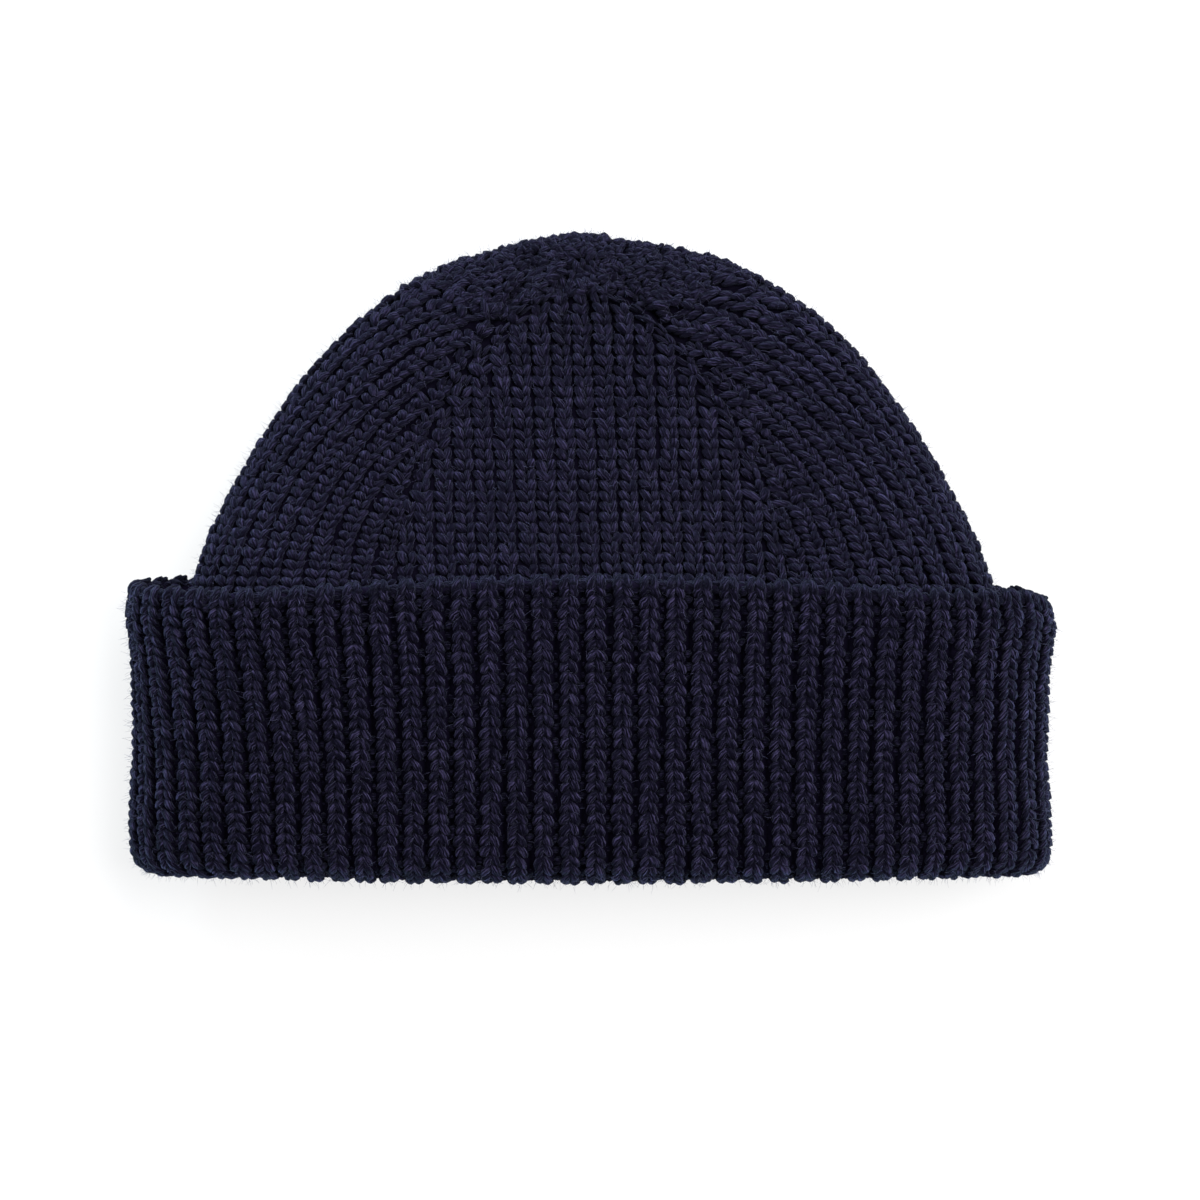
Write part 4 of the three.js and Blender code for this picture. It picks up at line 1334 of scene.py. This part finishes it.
def gathered_wall(start):
    """The wall over the tip's edge, which the gores' own walls leave open, as a closed strip."""
    edge = outline_places(np.arange(-TIP_COLUMNS, TIP_COLUMNS + 1) * GATHER_PITCH)
    step = unit(np.gradient(edge, axis=0))
    inward = np.stack([step[:, 1], -step[:, 0]], axis=1)
    runs = range(*TIP_RUNS)
    layers = []
    for lift in (-TIP_SINK, -CROWN_WALL):
        for run in runs:
            plan = edge + inward * fold_offset(abs(run), TIP_TOP_END, TIP_THICKNESS / 2)
            layers.append(crown_points(plan[:, 0], plan[:, 1], np.full(len(edge), run >= 0), lift))
    rows, columns = len(runs), len(edge)
    # Outer rows, then inner rows backwards, close into a ring, and each end is closed by quads
    order = [*range(rows), *range(2 * rows - 1, rows - 1, -1)]
    verts = np.vstack([layers[k] for k in order])
    faces = []
    for i in range(2 * rows):
        after = (i + 1) % (2 * rows)
        for k in range(columns - 1):
            a, b = start + i * columns + k, start + after * columns + k
            faces.append((a, a + 1, b + 1, b))
    for i in range(rows - 1):
        for k, turn in ((0, 1), (columns - 1, -1)):
            ring = [start + j * columns + k for j in (i, i + 1, 2 * rows - 2 - i, 2 * rows - 1 - i)]
            faces.append(tuple(ring[::turn]))
    return verts, faces


def make_cuff_wall():
    """The cuff's wall as one closed loop of rows, with its ribs in relief."""
    columns = np.arange(RIB_COUNT * PER_RIB) / PER_RIB
    shares = rib_share(columns)
    phase = np.abs(np.mod(columns + 0.5, 1) - 0.5) * 2
    valley = smoothstep(phase, VALLEY_START, VALLEY_FULL)

    def sunk(first, last, step, depth):
        runs = np.linspace(first, last, max(2, round((last - first) / step) + 1))
        padded = [first - 0.5, *runs, last + 0.5]
        grid = np.stack([cuff_row(run, shares) for run in padded])
        normals = -normals_of(grid)
        return (grid - normals * np.broadcast_to(depth, columns.shape)[None, :, None])[1:-1]

    end_run = FOLD_END + (JOIN_Y - END_GAP) - (FOLD_Y + FOLD_RADIUS)
    rim = sunk(-RIM_ARC, RIM_ARC, RIM_STEP, RIM_SINK)
    face = sunk(RIM_ARC + SLOT_END, end_run, FACE_STEP, RIB_SINK + VALLEY_SINK * valley)
    slot = []
    for run in np.linspace(end_run, FOLD_END + SLOT_START, SLOT_RINGS):
        slot.append(cuff_ring(cuff_profile(run)[0], INNER_INSET + SLOT_GAP, "inner", shares, False))
    for y in np.linspace(FOLD_Y + FOLD_REACH, RIM_Y - RIM_RADIUS - SLOT_END, SLOT_RINGS):
        slot.append(cuff_ring(y, RIB_WALL - SLOT_GAP, "outer", shares, False))
    rings = np.concatenate([rim, face, np.stack(slot)])
    count = RIB_COUNT * PER_RIB
    verts = rings.reshape(-1, 3)
    faces = grid_faces(len(rings), count, flip=True)
    last = (len(rings) - 1) * count
    for k in range(count):
        after = (k + 1) % count
        faces.append((last + k, k, after, last + after))
    wall = mesh_object("cuff_wall", verts, faces)
    # Painted shade: the wall is darker in the valleys between the ribs, but not at the rim.
    crest = np.tile(1 - valley, (len(rings), 1))
    crest[:len(rim)] = 1
    set_crest(wall, crest)
    wall.data.materials.append(rib_backing)
    return wall


# The folds beside the closure, and how the tip lies

CREASES = [  # places along each fold, and its share of the full depth and painted shade there
    [(-14, 76, 0.5), (-19.4, 69.3, 1), (-26.4, 59.7, 0.7), (-29, 56, 0)],
    [(5, 77, 0.4), (10, 70.6, 1), (18.6, 61.5, 0.9), (23, 56, 0)],
    [(-12.8, 67, 0.4), (-13, 57, 0.4), (-13.2, 52, 0)],
    [(-6.6, 70, 0.8), (-6.8, 56, 0.7), (-7, 50, 0)],
    [(-0.4, 70, 0.8), (-0.3, 56, 0.7), (-0.2, 50, 0)],
    [(5.4, 69, 0.5), (5.9, 57, 0.5), (6.1, 52, 0)],
]
HOLLOWS = [  # place, radius and share of the folds' depth and painted shade
    (-15, 75.5, 3.2, 0.9),
    (-8.5, 70.5, 2.6, 0.7),
    (-1, 74.5, 2.4, 0.5),
    (6.5, 73, 2.4, 0.5),
    (-6, 76.5, 2, 0.6),
]
CREASE_WIDTH = 0.8
CREASE_DEPTH = 2.1
# How much of the strands' brightness a fold or hollow takes away: painted shade in them.
CREASE_SHADE = 0.95
UPPER_HEIGHT = 6  # how far over the underside the creased face is, everywhere
SETTLE_START = 12  # how far under the tip it starts to shift, and where it shifts in full
SETTLE_FULL = 3
TIP_XS = [-22, -16, -12, -3, 3, 10, 14, 20, 25]
TIP_SHIFTS = [0, 0.3, -0.4, 0.4, -0.4, -1.4, -1.1, -0.4, 0]


def crease_share(x, y):
    """How deep in the folds and hollows of the crown's face each place lies, from 0 to 1."""
    share = np.zeros(len(x))
    for line in CREASES:
        for (x0, y0, d0), (x1, y1, d1) in zip(line, line[1:]):
            dx, dy = x1 - x0, y1 - y0
            part = np.clip(((x - x0) * dx + (y - y0) * dy) / (dx * dx + dy * dy), 0, 1)
            away = np.hypot(x - x0 - part * dx, y - y0 - part * dy)
            share = np.maximum(share, lerp(d0, d1, part) * np.exp(-(away / CREASE_WIDTH) ** 2))
    for x0, y0, radius, depth in HOLLOWS:
        share = np.maximum(share, depth * np.exp(-((x - x0) ** 2 + (y - y0) ** 2) / radius ** 2))
    return share


def crease_crown(piece):
    """Presses the folds into a piece of the crown, paints shade into them through its crest, and settles its
    tip.
    """
    verts = np.empty(3 * len(piece.data.vertices))
    piece.data.vertices.foreach_get("co", verts)
    verts = verts.reshape(-1, 3) / MM
    x, y, z = verts.T
    share = crease_share(x, y) * (z > crown_levels(np.minimum(y, TIP_Y - 1))[1] + UPPER_HEIGHT)
    shift = np.interp(x, TIP_XS, TIP_SHIFTS) * smoothstep(y, TIP_Y - SETTLE_START, TIP_Y - SETTLE_FULL)
    verts = np.stack([x, y + shift, z - CREASE_DEPTH * share], axis=1)
    piece.data.vertices.foreach_set("co", (verts * MM).ravel())
    # Painted shade in the folds and hollows
    crest = piece.data.attributes.get("crest")
    if crest:
        value = np.empty(len(verts), np.float32)
        crest.data.foreach_get("value", value)
        crest.data.foreach_set("value", (value * (1 - CREASE_SHADE * share)).astype(np.float32))
    piece.data.update()


crown_pieces = make_crown_stitches()
cuff_pieces = make_rib_stitches()
crown_wall = make_crown_wall()
cuff_wall = make_cuff_wall()
for piece in [crown_wall, *crown_pieces]:
    crease_crown(piece)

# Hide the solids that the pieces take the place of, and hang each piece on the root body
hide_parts("crown")
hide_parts("cuff")
for piece in [crown_wall, *crown_pieces]:
    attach(piece, "root")
for piece in [cuff_wall, *cuff_pieces]:
    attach(piece, "root")

# The cloth's sizes before it was shaped and folded, in metres
crown_round = 4 * WALES_PER_GORE * WALE_WIDTH * MM
gore_widths = [gore_stitches(row) * WALE_WIDTH * MM for row in np.arange(0.5, COURSES)]
crown_area = crown_round * HIDDEN_COURSES * CROWN_ROW * MM
crown_area += sum(GORE_COURSES.values()) * CROWN_ROW * MM * float(np.mean(gore_widths))

# The table, light and camera

TABLE_HALF = 3000
TABLE_LEVEL = -0.4  # the underside's stitches reach down to here
WHITE = (1, 1, 1)
COOL = (0.75, 0.9, 1)
LIGHTS = {  # place, aim and size in metres, power in watts, and colour
    "softbox_high": ((0.75, 0.2, 1.5), (0, 0, 0), 1.2, 26, WHITE),
    "softbox_right": ((1.5, 0.3, 0.8), (0, 0, 0), 1.0, 24, WHITE),
    "softbox_back": ((0.05, 0.48, 0.44), (0, 0, 0), 0.4, 3.2, WHITE),
    "edge_light": ((0.1, 1.5, 0.12), (0, 0.05, 0), 0.5, 24, COOL),
    "left_edge_light": ((-1.3, 0.7, 0.2), (0, 0, 0), 0.4, 8, COOL),
    "corner_light": ((-0.26, 0.24, 0.09), (-0.1, 0, 0.02), 0.08, 1.2, COOL),
}
SKY = 0.8
CAMERA_HEIGHT = 2.2
MID_LEVEL = 0.02  # where the picture's scale holds
PHOTO_PIXELS = 1200
PIXEL = 0.26 * MM
PHOTO_MIDDLE = (9.5, -42.5)  # from the cap's own middle, in pixels
SENSOR = 36


def make_floor():
    corners = [(-1, -1), (1, -1), (1, 1), (-1, 1)]
    verts = [(x * TABLE_HALF, y * TABLE_HALF, TABLE_LEVEL) for x, y in corners]
    floor = mesh_object("table", verts, [(0, 1, 2, 3)], smooth=False)
    floor.data.materials.append(floor_material())


def area_light(name, place, target, size, power, colour):
    data = bpy.data.lights.new(name, "AREA")
    data.shape, data.size, data.energy, data.color = "DISK", size, power, colour
    light = bpy.data.objects.new(name, data)
    light.location = place
    aim = np.array(target) - np.array(place)
    light.rotation_mode = "QUATERNION"
    light.rotation_quaternion = Vector(aim.tolist()).to_track_quat("-Z", "Y")
    bpy.context.scene.collection.objects.link(light)


make_floor()
for light_name, light in LIGHTS.items():
    area_light(light_name, *light)

world = bpy.data.worlds.new("studio")
bpy.context.scene.world = world
world.use_nodes = True
world.node_tree.nodes["Background"].inputs["Color"].default_value = (*WHITE, 1)
world.node_tree.nodes["Background"].inputs["Strength"].default_value = SKY

camera_data = bpy.data.cameras.new("camera")
camera = bpy.data.objects.new("camera", camera_data)
camera_data.sensor_width = SENSOR
camera_data.lens = SENSOR * (CAMERA_HEIGHT - MID_LEVEL) / (PHOTO_PIXELS * PIXEL)
camera_data.clip_end = 20
camera.location = (PHOTO_MIDDLE[0] * PIXEL, PHOTO_MIDDLE[1] * PIXEL, CAMERA_HEIGHT)
bpy.context.scene.collection.objects.link(camera)
bpy.context.scene.camera = camera
bpy.context.scene.view_settings.view_transform = "Standard"
